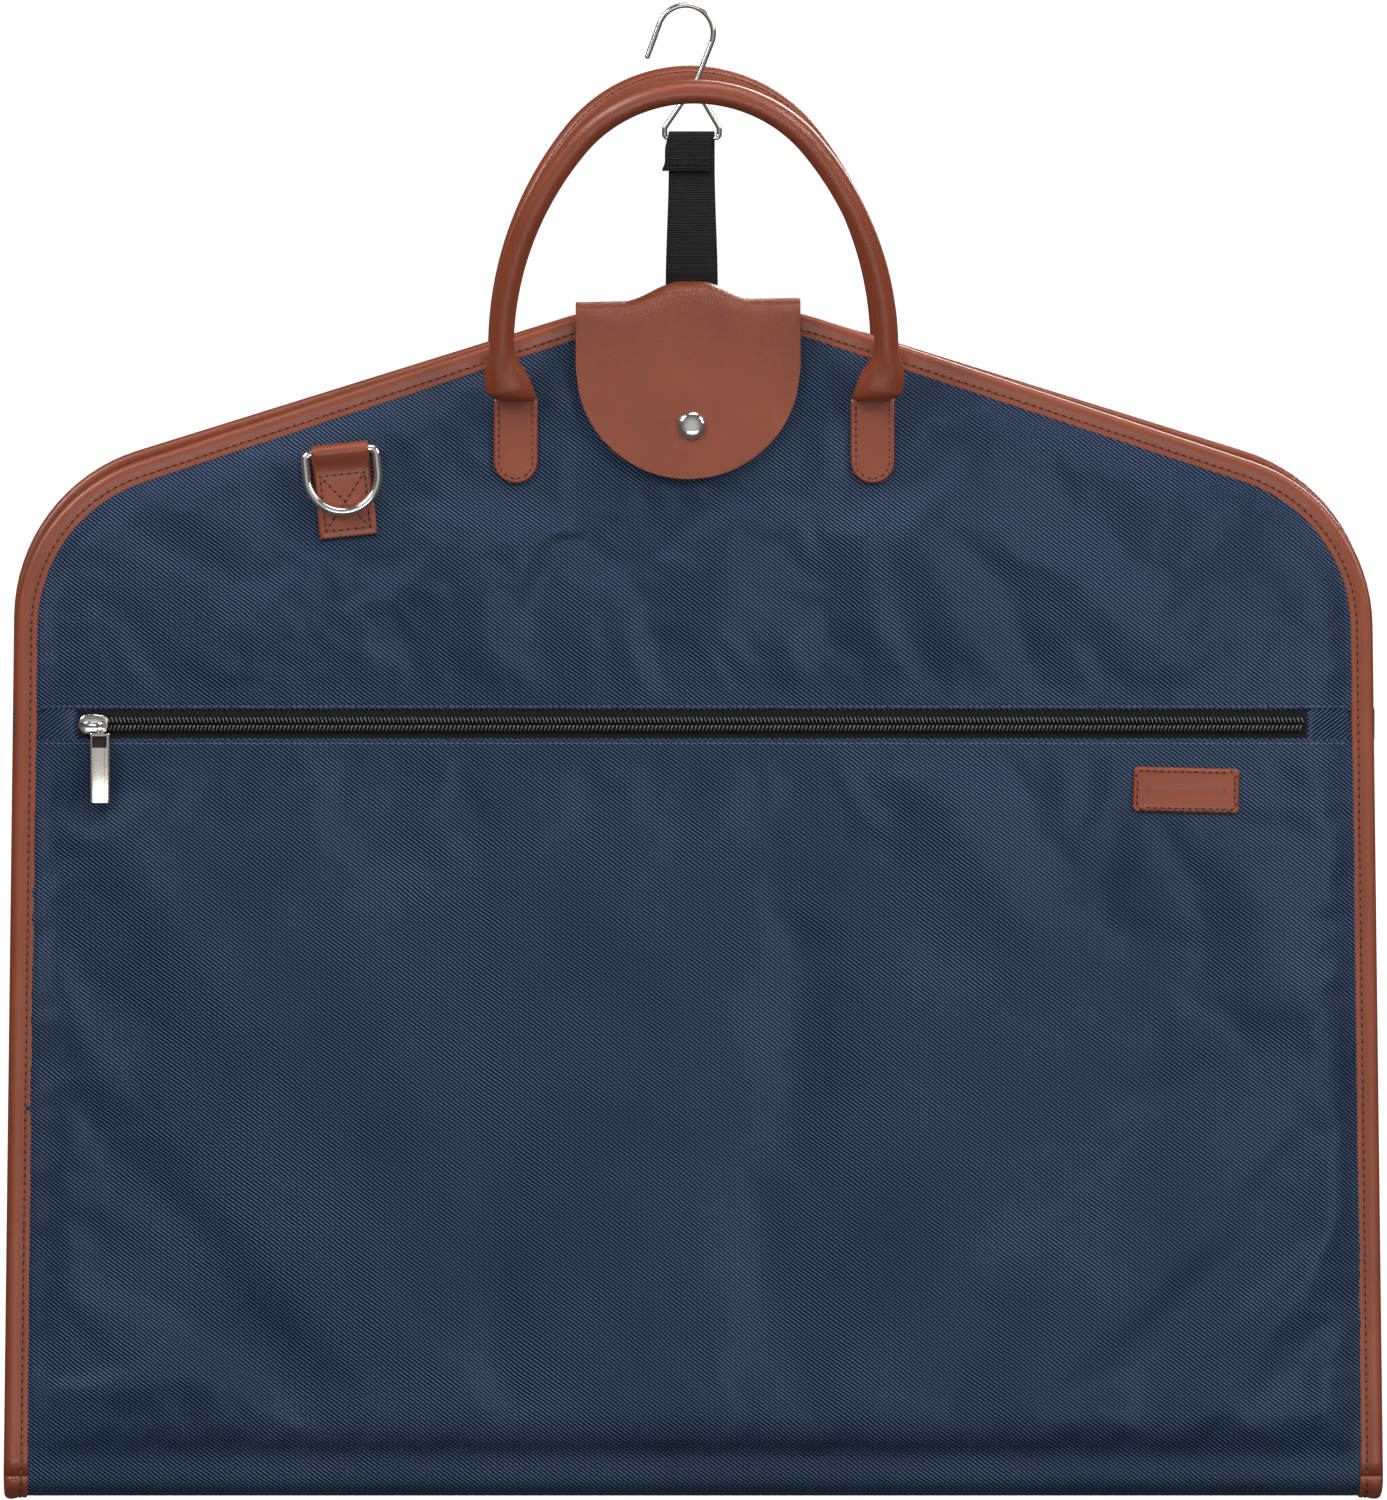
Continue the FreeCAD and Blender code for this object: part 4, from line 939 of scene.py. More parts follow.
def twill_upper():
    """The twill of the front leaf above the pocket zip."""
    path, ways = leaf_path("front")
    path = path - SHEET_INSET * ways
    arch = path[path[:, 1] > TOP_EDGE["upper"] + 1]
    end_x = side_edge(TOP_EDGE["upper"]) - SHEET_INSET
    outline = np.concatenate([level_row(np.linspace(-end_x, end_x, WIDE_STEPS), TOP_EDGE["upper"]), arch])
    across = np.linspace(-end_x + 2, end_x - 2, HEM_STEPS)
    extra = [level_row(across, TOP_EDGE["upper"] + row) for row in HEM_ROWS]
    flat, faces = fill(outline, CLOTH_SPACING * 0.8, extra, clear=0.45)
    x, z = flat[:, 0], flat[:, 1]
    distance = edge_distance("front", x, z)
    depth = leaf_depth("front", distance) + drape("front", x, z, distance)
    obj = make_object("twill_upper", np.stack([x + LEAF_SHIFT, -depth, z], 1), faces, TWILL)
    set_uv(obj, flat)
    held = np.maximum(held_share("front", x, z, HELD_SOFTEN), under_edging(distance))
    relax_cloth(obj, held, 2.2, 0.35, 8)
    smooth_once(obj)
    roll_hem(obj, TOP_EDGE["upper"], True)
    assign(obj, "twill", "front_leaf", "front_upper_panel")


def zip_patch(side, start, end):
    """A folded strip of twill, its ribs slanting the other way, that closes one end of the pocket zip."""
    low, high = sorted((start, end))
    half = ZIP_OPENING / 2 + 1.5
    outline = refine(np.array([(low, -half), (high, -half), (high, half), (low, half)], float), 2.2)
    flat, faces = fill(outline + (0, ZIP_CENTRE), 2.2)
    x, z = flat[:, 0], flat[:, 1]
    distance = edge_distance("front", x, z)
    # the inner end is folded under, and the patch lies a little deeper than the hems beside it
    inner = np.abs(x - end)
    short = np.clip((1.2 - inner) / 1.2, 0, 1)
    depth = leaf_depth("front", distance) - 0.45 - 1.0 * (1 - np.sqrt(1 - short**2))
    obj = make_object(f"zip_patch_{side}", np.stack([x + LEAF_SHIFT, -depth, z], 1), faces, PATCH_TWILL)
    set_uv(obj, flat)
    smooth_once(obj)
    assign(obj, "twill", "front_leaf", f"{side}_zip_patch")


def hem_stitches(name, height):
    """The light blue sewing beside the zip, from edge to edge."""
    reach = 294
    x, z = level_row(np.linspace(-reach, reach, 300), height).T
    depth = leaf_depth("front", edge_distance("front", x, z)) - 0.2
    points = np.stack([x + LEAF_SHIFT, -depth, z], 1)
    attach(thread_line(name, points, facing_out("front", len(x)), BLUE_THREAD, 2.9, 0.30), "front_leaf")


# ---- linings


def lining_half(side, half):
    """One half of a leaf's lining, beside the main zip."""
    path, ways = leaf_path(side)
    path = path - SHEET_INSET * ways
    zip_half = 4.5
    zip_top = 488
    path = path[path[:, 0] > 0.3]
    start = (path[0, 0], FOLD_AXIS + 0.3)
    inner = [(0.3, path[-1, 1]), (0.3, zip_top), (zip_half, zip_top), (zip_half, FOLD_AXIS + 0.3)]
    outline = refine(np.concatenate([[start], path[1:], inner]), 9)
    flat, faces = fill(outline, 9)
    x, z = flat[:, 0], flat[:, 1]
    distance = edge_distance(side, x, z)
    rim, low = 7.35, 3.1
    rise = smooth_step(BINDING_WIDTH, BINDING_WIDTH + 16, distance)
    spots = [Vector((a / 60 + 40 * len(half), b / 85, len(side))) for a, b in zip(x, z)]
    waves = np.array([noise.noise(spot) for spot in spots])
    seam = smooth_step(0, 14, x - zip_half)
    depth = rim + (low - rim) * rise + 0.9 * rise * seam * np.abs(waves)
    sign = 1 if half == "right" else -1
    way = -OUTWARD[side]
    points = np.stack([way * (sign * x + LEAF_SHIFT), OUTWARD[side] * depth, z], 1)
    if sign * way * OUTWARD[side] > 0:
        faces = [tuple(reversed(face)) for face in faces]
    obj = make_object(f"{side}_lining_{half}_cloth", points, faces, LINING)
    smooth_once(obj)
    assign(obj, "lining", f"{side}_leaf", f"{side}_lining_{half}")


def pocket_lining():
    """The pocket's inner cloth, hidden behind the lower twill."""
    low, high = span("pocket_lining")
    half = high.x - LEAF_SHIFT - 6
    outline = refine(np.array([(-half, low.z), (half, low.z), (half, high.z), (-half, high.z)]), 12)
    flat, faces = fill(outline, 14)
    x, z = flat[:, 0], flat[:, 1]
    depth = 9.5
    points = np.stack([x + LEAF_SHIFT, np.full(len(x), -depth), z], 1)
    obj = make_object("pocket_lining_cloth", points, faces, LINING)
    assign(obj, "lining", "front_leaf", "pocket_lining")


# ---- leather edging

# the edging's cross-section: distance in from the leaf's edge, and height over the seam
EDGING_HALF = (
    (10.1, 0.95), (10.0, 1.35), (9.5, 1.65), (8.7, 1.7), (7.8, 1.5), (7.0, 1.38), (6.2, 1.55),
    (5.0, 1.95), (3.4, 2.2), (1.9, 2.12), (0.9, 1.65), (0.25, 0.85), (0.0, 0.0),
)
# the closed cross-section, outer face first
EDGING_RING = [*EDGING_HALF, *((d, -h) for d, h in reversed(EDGING_HALF[:-1]))]
STITCH_IN = 7.0
STITCH_HIGH = 1.45


def edging_path(side):
    """A leaf's outline in bag places, with inward and outward directions."""
    points, ways = leaf_path(side)
    turned = -OUTWARD[side]
    places = np.stack([turned * (points[:, 0] + LEAF_SHIFT), np.zeros(len(points)), points[:, 1]], 1)
    inward = np.stack([-turned * ways[:, 0], np.zeros(len(points)), -ways[:, 1]], 1)
    return places, inward


def leaf_edging(side):
    """Rolled leather along the sides, shoulders and neck of one leaf, and its sewing on both faces."""
    places, inward = edging_path(side)
    out = np.array([0.0, OUTWARD[side], 0.0])
    rings = []
    for number, (spot, way) in enumerate(zip(places, inward)):
        wobble = noise.noise(Vector((number * 0.35, 7, len(side))))
        plump = 1 + 0.06 * noise.noise(Vector((number * 0.6, 21, len(side))))
        inward_step = way * (1 + 0.02 * wobble)
        rings.append([spot + inward_step * d + out * (SEAM_DEPTH + h * plump) for d, h in EDGING_RING])
    obj = loft(f"{side}_edging", rings, LEATHER)
    assign(obj, "leather", f"{side}_leaf", f"{side}_binding")
    rows = []
    for face in (1, -1):
        line = places + inward * STITCH_IN + out * (SEAM_DEPTH + face * STITCH_HIGH)
        rows.append((line, np.tile(face * out, (len(line), 1))))
    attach(leather_stitches(f"{side}_edging_stitches", rows), f"{side}_leaf")


def fold_edging(side):
    """The edging where it runs round the fold from one leaf to the other, at the left or right end."""
    way = 1 if side == "right" else -1
    rings, line, facing = [], [], []
    inward = np.array([-way, 0.0, 0.0])
    for angle in np.linspace(0, math.pi, 17):
        out = np.array([0.0, -math.cos(angle), -math.sin(angle)])
        spot = np.array([way * HALF_BOTTOM + LEAF_SHIFT * math.cos(angle), 0.0, FOLD_AXIS])
        rings.append([spot + inward * d + out * (SEAM_DEPTH + h) for d, h in EDGING_RING])
        line.append(spot + inward * STITCH_IN + out * (SEAM_DEPTH + STITCH_HIGH))
        facing.append(out)
    obj = loft(f"fold_edging_{side}", rings, LEATHER)
    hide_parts(f"fold_binding_{side}")
    stitches = leather_stitches(f"fold_edging_{side}_stitches", [(line, facing)])
    for one in (obj, stitches):
        place(0, -SEAM_DEPTH, 0)
        place(0, SEAM_DEPTH, 0)
        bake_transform(one)


# ---- handles and their tabs

HANDLE_HALF, HANDLE_RISE, HANDLE_FOOT = 85, 120.4, 20
HANDLE_CROWN, HANDLE_BEND, HANDLE_DROP = 66, 51, 17.5
HANDLE_TUBE = 5.3
HANDLE_STAND = 7.9
HANDLE_AXIS = {"front": 488, "rear": 490}
HANDLE_LEAN = {"front": math.radians(20), "rear": math.radians(4)}
BOOT_POINTS = 14
# where the seam lies round the tube, from outward in the handle's plane
SEAM_ANGLE = {"front": math.radians(205), "rear": math.radians(-68)}
TAB_CENTRE, TAB_HALF, TAB_LENGTH, TAB_THICK = 79, 9.7, 37.5, 2
BOOT_LENGTH, BOOT_HALF = 19, 10.2
BOOT_FLAT, BOOT_BACK, BOOT_DRIFT = 1.5, 0.6, 3
BOOT_PLEAT, PLEAT_TWIST, PLEAT_COUNT = 0.32, 1.1, 5
# the boot's turned-under end: height, half width, half depth and distance back for each ring
BOOT_END = (
    (-2.6, 8.6, 0.8, 4.4), (-3.2, 9.1, 2.0, 3.5), (-2.9, 9.5, 3.2, 2.5),
    (-1.9, 9.8, 4.2, 1.6), (-0.3, 10.1, 4.9, 1.0),
)


def handle_line():
    """Half of a handle's centre line from foot to crown, in the handle's plane, from the hinge line up."""
    gap = HANDLE_HALF - HANDLE_CROWN
    side = ((HANDLE_RISE - HANDLE_CROWN) ** 2 + HANDLE_HALF**2 - HANDLE_CROWN**2) / (2 * gap)
    top = math.atan2(HANDLE_RISE - HANDLE_CROWN, side - HANDLE_HALF)
    low = math.asin(HANDLE_DROP / HANDLE_BEND)
    foot, _ = turn((HANDLE_HALF - HANDLE_BEND, HANDLE_FOOT), HANDLE_BEND, -low, 0, 1.6)
    rise, _ = turn((HANDLE_HALF - side, HANDLE_FOOT), side, 0, top, 3)
    crown, _ = turn((0, HANDLE_FOOT + HANDLE_RISE - HANDLE_CROWN), HANDLE_CROWN, top, math.pi / 2, 3)
    return np.concatenate([foot, rise[1:], crown[1:]])


def handle_ring(centre, way, radii, pleat, twist, sides=28):
    """One cross-section in plane coordinates (across, up, out); pleat folds the skin into creases."""
    across = np.array([way[1], -way[0], 0.0])
    out = np.array([0.0, 0.0, 1.0])
    ring = []
    for angle in circle_angles(sides):
        reach = 1 + pleat * math.cos(PLEAT_COUNT * angle + twist)
        ring.append(centre + reach * (across * radii[0] * math.cos(angle) + out * radii[1] * math.sin(angle)))
    return ring


def handle_sections():
    """Rings of half a handle in plane coordinates, from its boot to its crown."""
    half = handle_line()
    run = run_along(half)
    ahead = unit(np.gradient(half, axis=0))
    rings = []
    # the turned-under end of the boot rests on the tab, and drifts from the tab's middle to the handle's
    foot_x = half[0, 0]
    for up, wide, deep, back in BOOT_END:
        drift = np.clip((up + BOOT_DRIFT) / (2 * BOOT_DRIFT), 0, 1)
        centre = np.array([TAB_CENTRE + (foot_x - TAB_CENTRE) * drift, up, -back])
        rings.append(handle_ring(centre, np.array([0.0, 1.0]), (wide, deep), 0.0, 0.0))
    for spot, way, length in zip(half, ahead, run):
        share = float(1 - smooth_step(BOOT_FLAT, BOOT_LENGTH, length))
        wide = HANDLE_TUBE + (BOOT_HALF - HANDLE_TUBE) * share
        centre = np.array([spot[0], spot[1], -BOOT_BACK * share])
        pleat = BOOT_PLEAT * share * (1 - share)
        rings.append(handle_ring(centre, way, (wide, HANDLE_TUBE), pleat, PLEAT_TWIST))
    return rings


def handle_to_bag(side, points):
    """Handle-plane coordinates (across, up, out) to the bag."""
    points = np.asarray(points, float)
    lean = HANDLE_LEAN[side]
    way = -OUTWARD[side]
    up, out = points[..., 1], points[..., 2]
    depth = CROWN[side] + HANDLE_STAND + up * math.sin(lean) + out * math.cos(lean)
    height = HANDLE_AXIS[side] + up * math.cos(lean) - out * math.sin(lean)
    return np.stack([way * (points[..., 0] + LEAF_SHIFT), OUTWARD[side] * depth, height], -1)


def handle(side):
    """One carrying handle: leather tube with boots that rest on the tabs, its seam and its sewing."""
    right = np.array(handle_sections())
    left = right[-2::-1] * (-1, 1, 1)
    whole = handle_to_bag(side, np.concatenate([right, left]))
    cover = loft(f"{side}_handle_leather", whole, LEATHER)
    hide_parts(f"{side}_handle_cover")
    stitches = handle_stitches(side)
    low, high = (place(0, OUTWARD[side] * CROWN[side], HANDLE_AXIS[side] + shift) for shift in (-7, 3))
    for one in (cover, stitches):
        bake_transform(one)


def handle_stitches(side):
    """Sewing along the tube: on the front handle's inner side, on the rear handle's outer side."""
    half = handle_line()
    line = np.concatenate([half, half[-2::-1] * (-1, 1)])
    ahead = unit(np.gradient(line, axis=0))
    across = np.stack([ahead[:, 1], -ahead[:, 0], np.zeros(len(line))], 1)
    angle = SEAM_ANGLE[side]
    facing = across * math.cos(angle) + np.array([0, 0, 1.0]) * math.sin(angle)
    points = np.concatenate([line, np.zeros((len(line), 1))], 1) + facing * (HANDLE_TUBE + 0.05)
    # the sewing starts and ends above the boots
    kept = slice(BOOT_POINTS, -BOOT_POINTS)
    points, facing = points[kept], facing[kept]
    spots = handle_to_bag(side, points)
    ends = handle_to_bag(side, points + facing) - spots
    return leather_stitches(f"{side}_handle_stitches", [(spots, ends)], 3.3, 0.26, 0.3)


def plate_sewing(side, row, high, to_bag):
    """A row of sewing over a plate's face, as points and directions; high is one height or one for each."""
    points = to_bag(np.stack([row[:, 0], np.broadcast_to(high, len(row)), row[:, 1]], 1))
    return points, facing_out(side, len(row))


def tab_outline(half, length):
    """A tab with a round lower end, its top edge at height 0, counter-clockwise."""
    round_end, _ = turn((0, half - length), half, math.pi, 2 * math.pi, 2.0)
    return refine(np.concatenate([round_end, [(half, 0), (-half, 0)]]), 2.0)


def handle_tabs(side):
    """The two leather tabs under a handle, each sewn round its edge but not across its top."""
    top = HANDLE_AXIS[side] - 2
    for half, way in (("left", -1), ("right", 1)):
        x = way * TAB_CENTRE * (1 if side == "front" else -1)
        to_bag = on_leaf(side, x, top, CROWN[side] + 0.05)
        outline = tab_outline(TAB_HALF, TAB_LENGTH)
        plump = soft_edge(TAB_THICK, 1.1)

        def height(distance, across, up):
            """The tab's face, pressed in along its sewing."""
            groove = 0.28 * np.exp(-(((distance - 2.3) / 0.8) ** 2)) * smooth_step(-0.5, 2, -up)
            return plump(distance) - groove
        tab = relief(f"{side}_tab_{half}", outline, 1.7, height, to_bag, LEATHER, 1.1)
        assign(tab, "leather", f"{side}_leaf", f"{side}_handle_tab_{half}")
        row, _ = turn((0, TAB_HALF - TAB_LENGTH), TAB_HALF - 2.3, math.pi, 2 * math.pi, 1.2)
        row = np.concatenate([[(row[0, 0], -1.2)], row, [(row[-1, 0], -1.2)]])
        paths = [plate_sewing(side, row, TAB_THICK - 0.2, to_bag)]
        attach(leather_stitches(f"{side}_tab_{half}_stitches", paths, 3.0), f"{side}_leaf")


# ---- D-ring tabs and label

RING_X, RING_Z, RING_TILT = -156.8, 462.7, -6
RING_TAB_HALF, RING_TAB_LENGTH, RING_TAB_THICK = 12.7, 38, 1.6
RING_BAR_OUT = 3.9
LOOP_RADIUS = 3.6


def ring_tab(side):
    """Leather strap folded over the ring's bar, both ends sewn down with a box and a cross."""
    to_bag = on_leaf(side, RING_X, RING_Z, CROWN[side] + 0.05, RING_TILT)
    # from behind the bar over its top and down the front, then flat to the lower end
    loop = [
        (RING_BAR_OUT - LOOP_RADIUS * math.cos(math.radians(a)), LOOP_RADIUS * math.sin(math.radians(a)))
        for a in np.linspace(0, 200, 13)
    ]
    down = [(4.6, -4.6), (3.0, -7.2), (2.1, -9.8), (1.75, -13)]
    down += [(RING_TAB_THICK, z) for z in np.linspace(-16, -RING_TAB_LENGTH + 0.6, 9)]
    down += [(1.2, -RING_TAB_LENGTH), (0.3, -RING_TAB_LENGTH)]
    back = [(0.0, z) for z in np.linspace(-RING_TAB_LENGTH + 0.5, -1, 10)]
    section = np.array(loop + down + back)
    rings = []
    for share in np.linspace(-1, 1, 17):
        round_off = 0.35 * smooth_step(0.93, 1.0, abs(share))
        rings.append([(share * RING_TAB_HALF, y * (1 - 0.15 * round_off), z) for y, z in section])
    flat = to_bag(np.array(rings).reshape(-1, 3)).reshape(len(rings), -1, 3)
    tab = loft(f"{side}_ring_tab", flat, LEATHER)
    assign(tab, "leather", f"{side}_leaf", f"{side}_d_ring_tab")
    edge = RING_TAB_HALF - 2.8
    top, low = -10.2, -RING_TAB_LENGTH + 3.4
    corners = [(-edge, top), (edge, top), (edge, low), (-edge, low), (-edge, top)]
    rows = [corners, [(-edge, top), (edge, low)], [(edge, top), (-edge, low)]]
    face = np.array(down)
    paths = []
    for row in rows:
        for start, end in zip(row, row[1:]):
            steps = np.linspace(0, 1, 12)[:, None]
            line = np.array(start) * (1 - steps) + np.array(end) * steps
            lift = np.interp(-line[:, 1], -face[:, 1], face[:, 0]) + 0.05
            paths.append(plate_sewing(side, line, lift, to_bag))
    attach(leather_stitches(f"{side}_ring_tab_stitches", paths, 2.9, 0.32), f"{side}_leaf")


def label():
    """The blank leather label, with a plain pressed bar and sewing all round."""
    x, z, tilt = 217.8, 312.7, 1.3
    wide, high, thick = 47, 20, 1.4
    to_bag = on_leaf("front", x, z, CROWN["front"] + 0.05, tilt)
    plump = soft_edge(thick, 0.8)

    def height(distance, across, up):
        """The label's face, pressed in along its sewing and at the bar."""
        groove = 0.2 * np.exp(-(((distance - 1.9) / 0.6) ** 2))
        inside = np.minimum(17 - np.abs(across), 1.7 - np.abs(up))
        return plump(distance) - groove - 0.35 * smooth_step(-0.35, 0.35, inside)
    patch = relief("leather_label", rounded_rectangle(wide, high, 2.5), 0.7, height, to_bag, LEATHER, 0.8)
    assign(patch, "leather", "front_leaf", "label_patch")
    row = rounded_rectangle(wide - 3.8, high - 3.8, 1.4)
    row = np.concatenate([row, row[:1]])
    paths = [plate_sewing("front", row, thick - 0.15, to_bag)]
    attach(leather_stitches("leather_label_stitches", paths, 3.0, 0.3), "front_leaf")


# ---- flap and snap

FLAP_CENTRE, FLAP_HALF = -2, 49.8
FLAP_LOW, FLAP_TOP, FLAP_AXIS = 450.4, 529, 527
FLAP_THICK, FLAP_FACE = 1.6, 18.8
HUMP_RISE, HUMP_CENTRE, HUMP_SPAN = 8.2, -1.5, (4, 29)
TOP_SLOPE = 0.02
FLAP_COLUMNS, ROLL_STEPS, DOWN_STEPS, BACK_STEPS = 61, 17, 30, 7


def flap_top(x):
    """Height of the flap's upper edge: level shoulders and a round rise over the strap."""
    aside = np.abs(x - HUMP_CENTRE)
    return FLAP_TOP + HUMP_RISE * (1 - smooth_step(*HUMP_SPAN, aside)) + TOP_SLOPE * (x + FLAP_HALF)


def flap():
    """The flap's leather: from behind the neck over the top, then down to its round lower end."""
    roll_high, roll_power = 9.5, 0.72
    back_drop, corner_drop = 30, 0.5
    inner = 2.0
    face = FLAP_FACE - FLAP_THICK / 2
    middle = (inner + face) / 2
    rings, back_rings = [], []
    down = np.linspace(0, 1, DOWN_STEPS)[1:]
    down_behind = np.linspace(0, 1, BACK_STEPS)
    for share in np.linspace(-1, 1, FLAP_COLUMNS):
        across = FLAP_CENTRE + FLAP_HALF * share
        # the round lower end: a half circle below the straight sides, which end a little lower
        drop = FLAP_HALF * math.sqrt(max(0.0, 1 - share * share))
        bottom = FLAP_LOW + FLAP_HALF - max(drop, corner_drop)
        start = float(flap_top(across)) - roll_high - FLAP_THICK / 2
        back_rings.append([(across, -inner, start - back_drop * part) for part in down_behind])
        ring = []
        for angle in np.linspace(0, math.pi, ROLL_STEPS):
            rise = roll_high * math.sin(angle) ** roll_power
            ring.append((across, (middle - inner) * math.cos(angle) - middle, start + rise))
        ring += [(across, -face, start + (bottom - start) * part) for part in down]
        rings.append(ring)
    obj = leather_sheet("leather_flap", rings)
    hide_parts("closure_flap", "flap_base")
    top, hanging = place(0, -13.5, FLAP_AXIS), place(0, -19, FLAP_AXIS - 8)
    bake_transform(obj)
    back = leather_sheet("leather_flap_back", back_rings)
    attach(back, "front_leaf")


def leather_sheet(name, rings):
    """Leather of even thickness from one open skin, its cut edges slightly rounded."""
    obj = loft(name, rings, FLAP_LEATHER, closed_ring=False)
    add_modifier(obj, "SOLIDIFY", thickness=FLAP_THICK * MM, offset=0)
    limit = math.radians(50)
    add_modifier(obj, "BEVEL", width=0.35 * MM, segments=2, limit_method="ANGLE", angle_limit=limit)
    settle(obj)
    obj.data.shade_smooth()
    return obj


def snap():
    """The snap's domed cap with its thin rim."""
    low, high = span("snap_cap")
    centre, radius = (low + high) / 2, (high.x - low.x) / 2
    # the dome's profile: share of the radius, and height
    profile = ((0.25, 2.5), (0.5, 2.3), (0.72, 1.95), (0.88, 1.4), (0.97, 0.8), (1.0, 0.35), (0.98, 0.0))
    rings = []
    for share, out in profile:
        reach = share * radius
        rings.append([
            (centre.x + reach * math.cos(angle), high.y - out, centre.z + reach * math.sin(angle))
            for angle in circle_angles(40)
        ])
    cap = loft("snap_dome", rings, NICKEL)
    assign(cap, "nickel", "flap", "snap_cap")


# ---- strap

STRAP_X, STRAP_HALF, STRAP_THICK, STRAP_Y = -0.4, 10.25, 1.3, 0.5
STRAP_FOOT, STRAP_BEND, BAR_HEIGHT = 490, 539.5, 602.2
OVERLAP_LOW = 587.3
END_ASIDE = 1.7
LOOP_REACH = 1.2 + 0.3 + STRAP_THICK / 2


def strap():
    """Black webbing: sewn end, free length, loop over the hook's bar and short end sewn down in front."""
    # up from the sewn end, a little back to the bar, round it, and down in front
    line = [(STRAP_Y, z) for z in np.linspace(STRAP_FOOT, BAR_HEIGHT - 7, 40)]
    line += [(STRAP_Y + 0.5, BAR_HEIGHT - 4.5), (STRAP_Y + 1.2, BAR_HEIGHT - 2.2)]
    for angle in np.linspace(-10, 190, 14):
        radians = math.radians(angle)
        line.append((LOOP_REACH * math.cos(radians), BAR_HEIGHT + LOOP_REACH * math.sin(radians)))
    front = STRAP_Y - STRAP_THICK - 0.15
    line += [(-1.9, BAR_HEIGHT - 2.4), (front - 0.35, BAR_HEIGHT - 4.6)]
    line += [(front, z) for z in np.linspace(BAR_HEIGHT - 6.6, OVERLAP_LOW, 7)]
    line = np.array(line)
    ahead = unit(np.gradient(line, axis=0))
    run = run_along(line)
    turned = run[-1] - (BAR_HEIGHT - OVERLAP_LOW)
    under = [(-1, -0.6), (-0.97, -1), (-0.5, -1), (0, -1), (0.5, -1), (0.97, -1), (1, -0.6)]
    section = under + [(-share, -out) for share, out in under]
    rings = []
    for (y, z), (dy, dz), length in zip(line, ahead, run):
        wide = STRAP_HALF + 1.35 * (1 - smooth_step(536, 590, z)) * (length < turned)
        aside = -END_ASIDE * smooth_step(turned - 3, turned + 6, length)
        # the short end's lower left corner stands out a little
        flare = 1.3 * smooth_step(run[-1] - 4, run[-1], length)
        thick = STRAP_THICK / 2
        ring = []
        for share, out in section:
            left = flare * max(0.0, -share)
            ring.append((STRAP_X + aside + wide * share - left, y - dz * thick * out, z + dy * thick * out))
        rings.append(ring)
    obj = loft("webbing_strap", rings, WEBBING)
    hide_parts("hook_strap", "strap_sewn_end")
    place(0, 0, STRAP_BEND - 4)
    place(0, 0, STRAP_BEND + 5)
    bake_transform(obj)
    row = np.linspace(-0.86, 0.86, 12) * STRAP_HALF
    groups = []
    for height in (OVERLAP_LOW + 2.6, OVERLAP_LOW + 5.2):
        points = [(STRAP_X - END_ASIDE + x, front - STRAP_THICK / 2, height) for x in row]
        groups.append((TAPE, *along_path(points, facing_out("front", len(points)), 2.4), 1.0, 0.28, 0.24))
    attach(bead_cloud("webbing_strap_stitches", groups), "strap")


# ---- zips

TOOTH_PITCH = 1.75
COIL_OFFSET, COIL_SLANT, SEWING_OFFSET, SEWING_SUNK = 1.72, 0.42, 3.5, 0.35
COIL_DEPTH = 15.3


def zip_chain(name, origin, along, across, out, length, body, node_pair):
    """Two rows of slanting coil turns that meet in the middle, with the sewing beside them."""
    along, across, out = (np.array(v, float) for v in (along, across, out))
    for sign, nodes, part in ((1, node_pair[0], "a"), (-1, node_pair[1], "b")):
        marks = (np.arange(int(length / TOOTH_PITCH)) + 0.5 + 0.25 * sign) * TOOTH_PITCH
        row = origin + np.outer(marks, along)
        centres = row + sign * COIL_OFFSET * across
        slant = COIL_SLANT * along - sign * across
        sewing = row + sign * SEWING_OFFSET * across - SEWING_SUNK * out
        facing = np.tile(out, (len(marks), 1))
        groups = [
            (COIL, centres, np.tile(slant, (len(marks), 1)), facing, 1.8, 0.6, 0.95),
            (TAPE, sewing, np.tile(along, (len(marks), 1)), facing, 0.62, 0.32, 0.35),
        ]
        obj = bead_cloud(f"{name}_{part}", groups)
        assign(obj, "zip_coil", body, *nodes)


def soft_box(name, low, high, material, edge):
    """A box with rounded edges between two corners."""
    points = [(x, y, z) for x in (low[0], high[0]) for y in (low[1], high[1]) for z in (low[2], high[2])]
    faces = [(0, 1, 3, 2), (4, 6, 7, 5), (0, 4, 5, 1), (2, 3, 7, 6), (0, 2, 6, 4), (1, 5, 7, 3)]
    obj = make_object(name, points, faces, material, smooth=False)
    add_modifier(obj, "BEVEL", width=edge * MM, segments=3, limit_method="NONE")
    return settle(obj)


def pocket_zip():
    """The pocket zip's tapes and coils."""
    for half in ("upper", "lower"):
        low, high = span(f"pocket_zip_{half}_tape")
        tape = soft_box(f"pocket_tape_{half}", low, high, TAPE, 0.2)
        assign(tape, "zip_tape", "front_leaf", f"pocket_zip_{half}_tape")
    low, high = span("pocket_zip_upper_coil")
    origin = np.array([low.x, -COIL_DEPTH, ZIP_CENTRE])
    nodes = (["pocket_zip_upper_coil"], ["pocket_zip_lower_coil"])
    zip_chain("pocket_coil", origin, (1, 0, 0), (0, 0, 1), (0, -1, 0), high.x - low.x, "front_leaf", nodes)


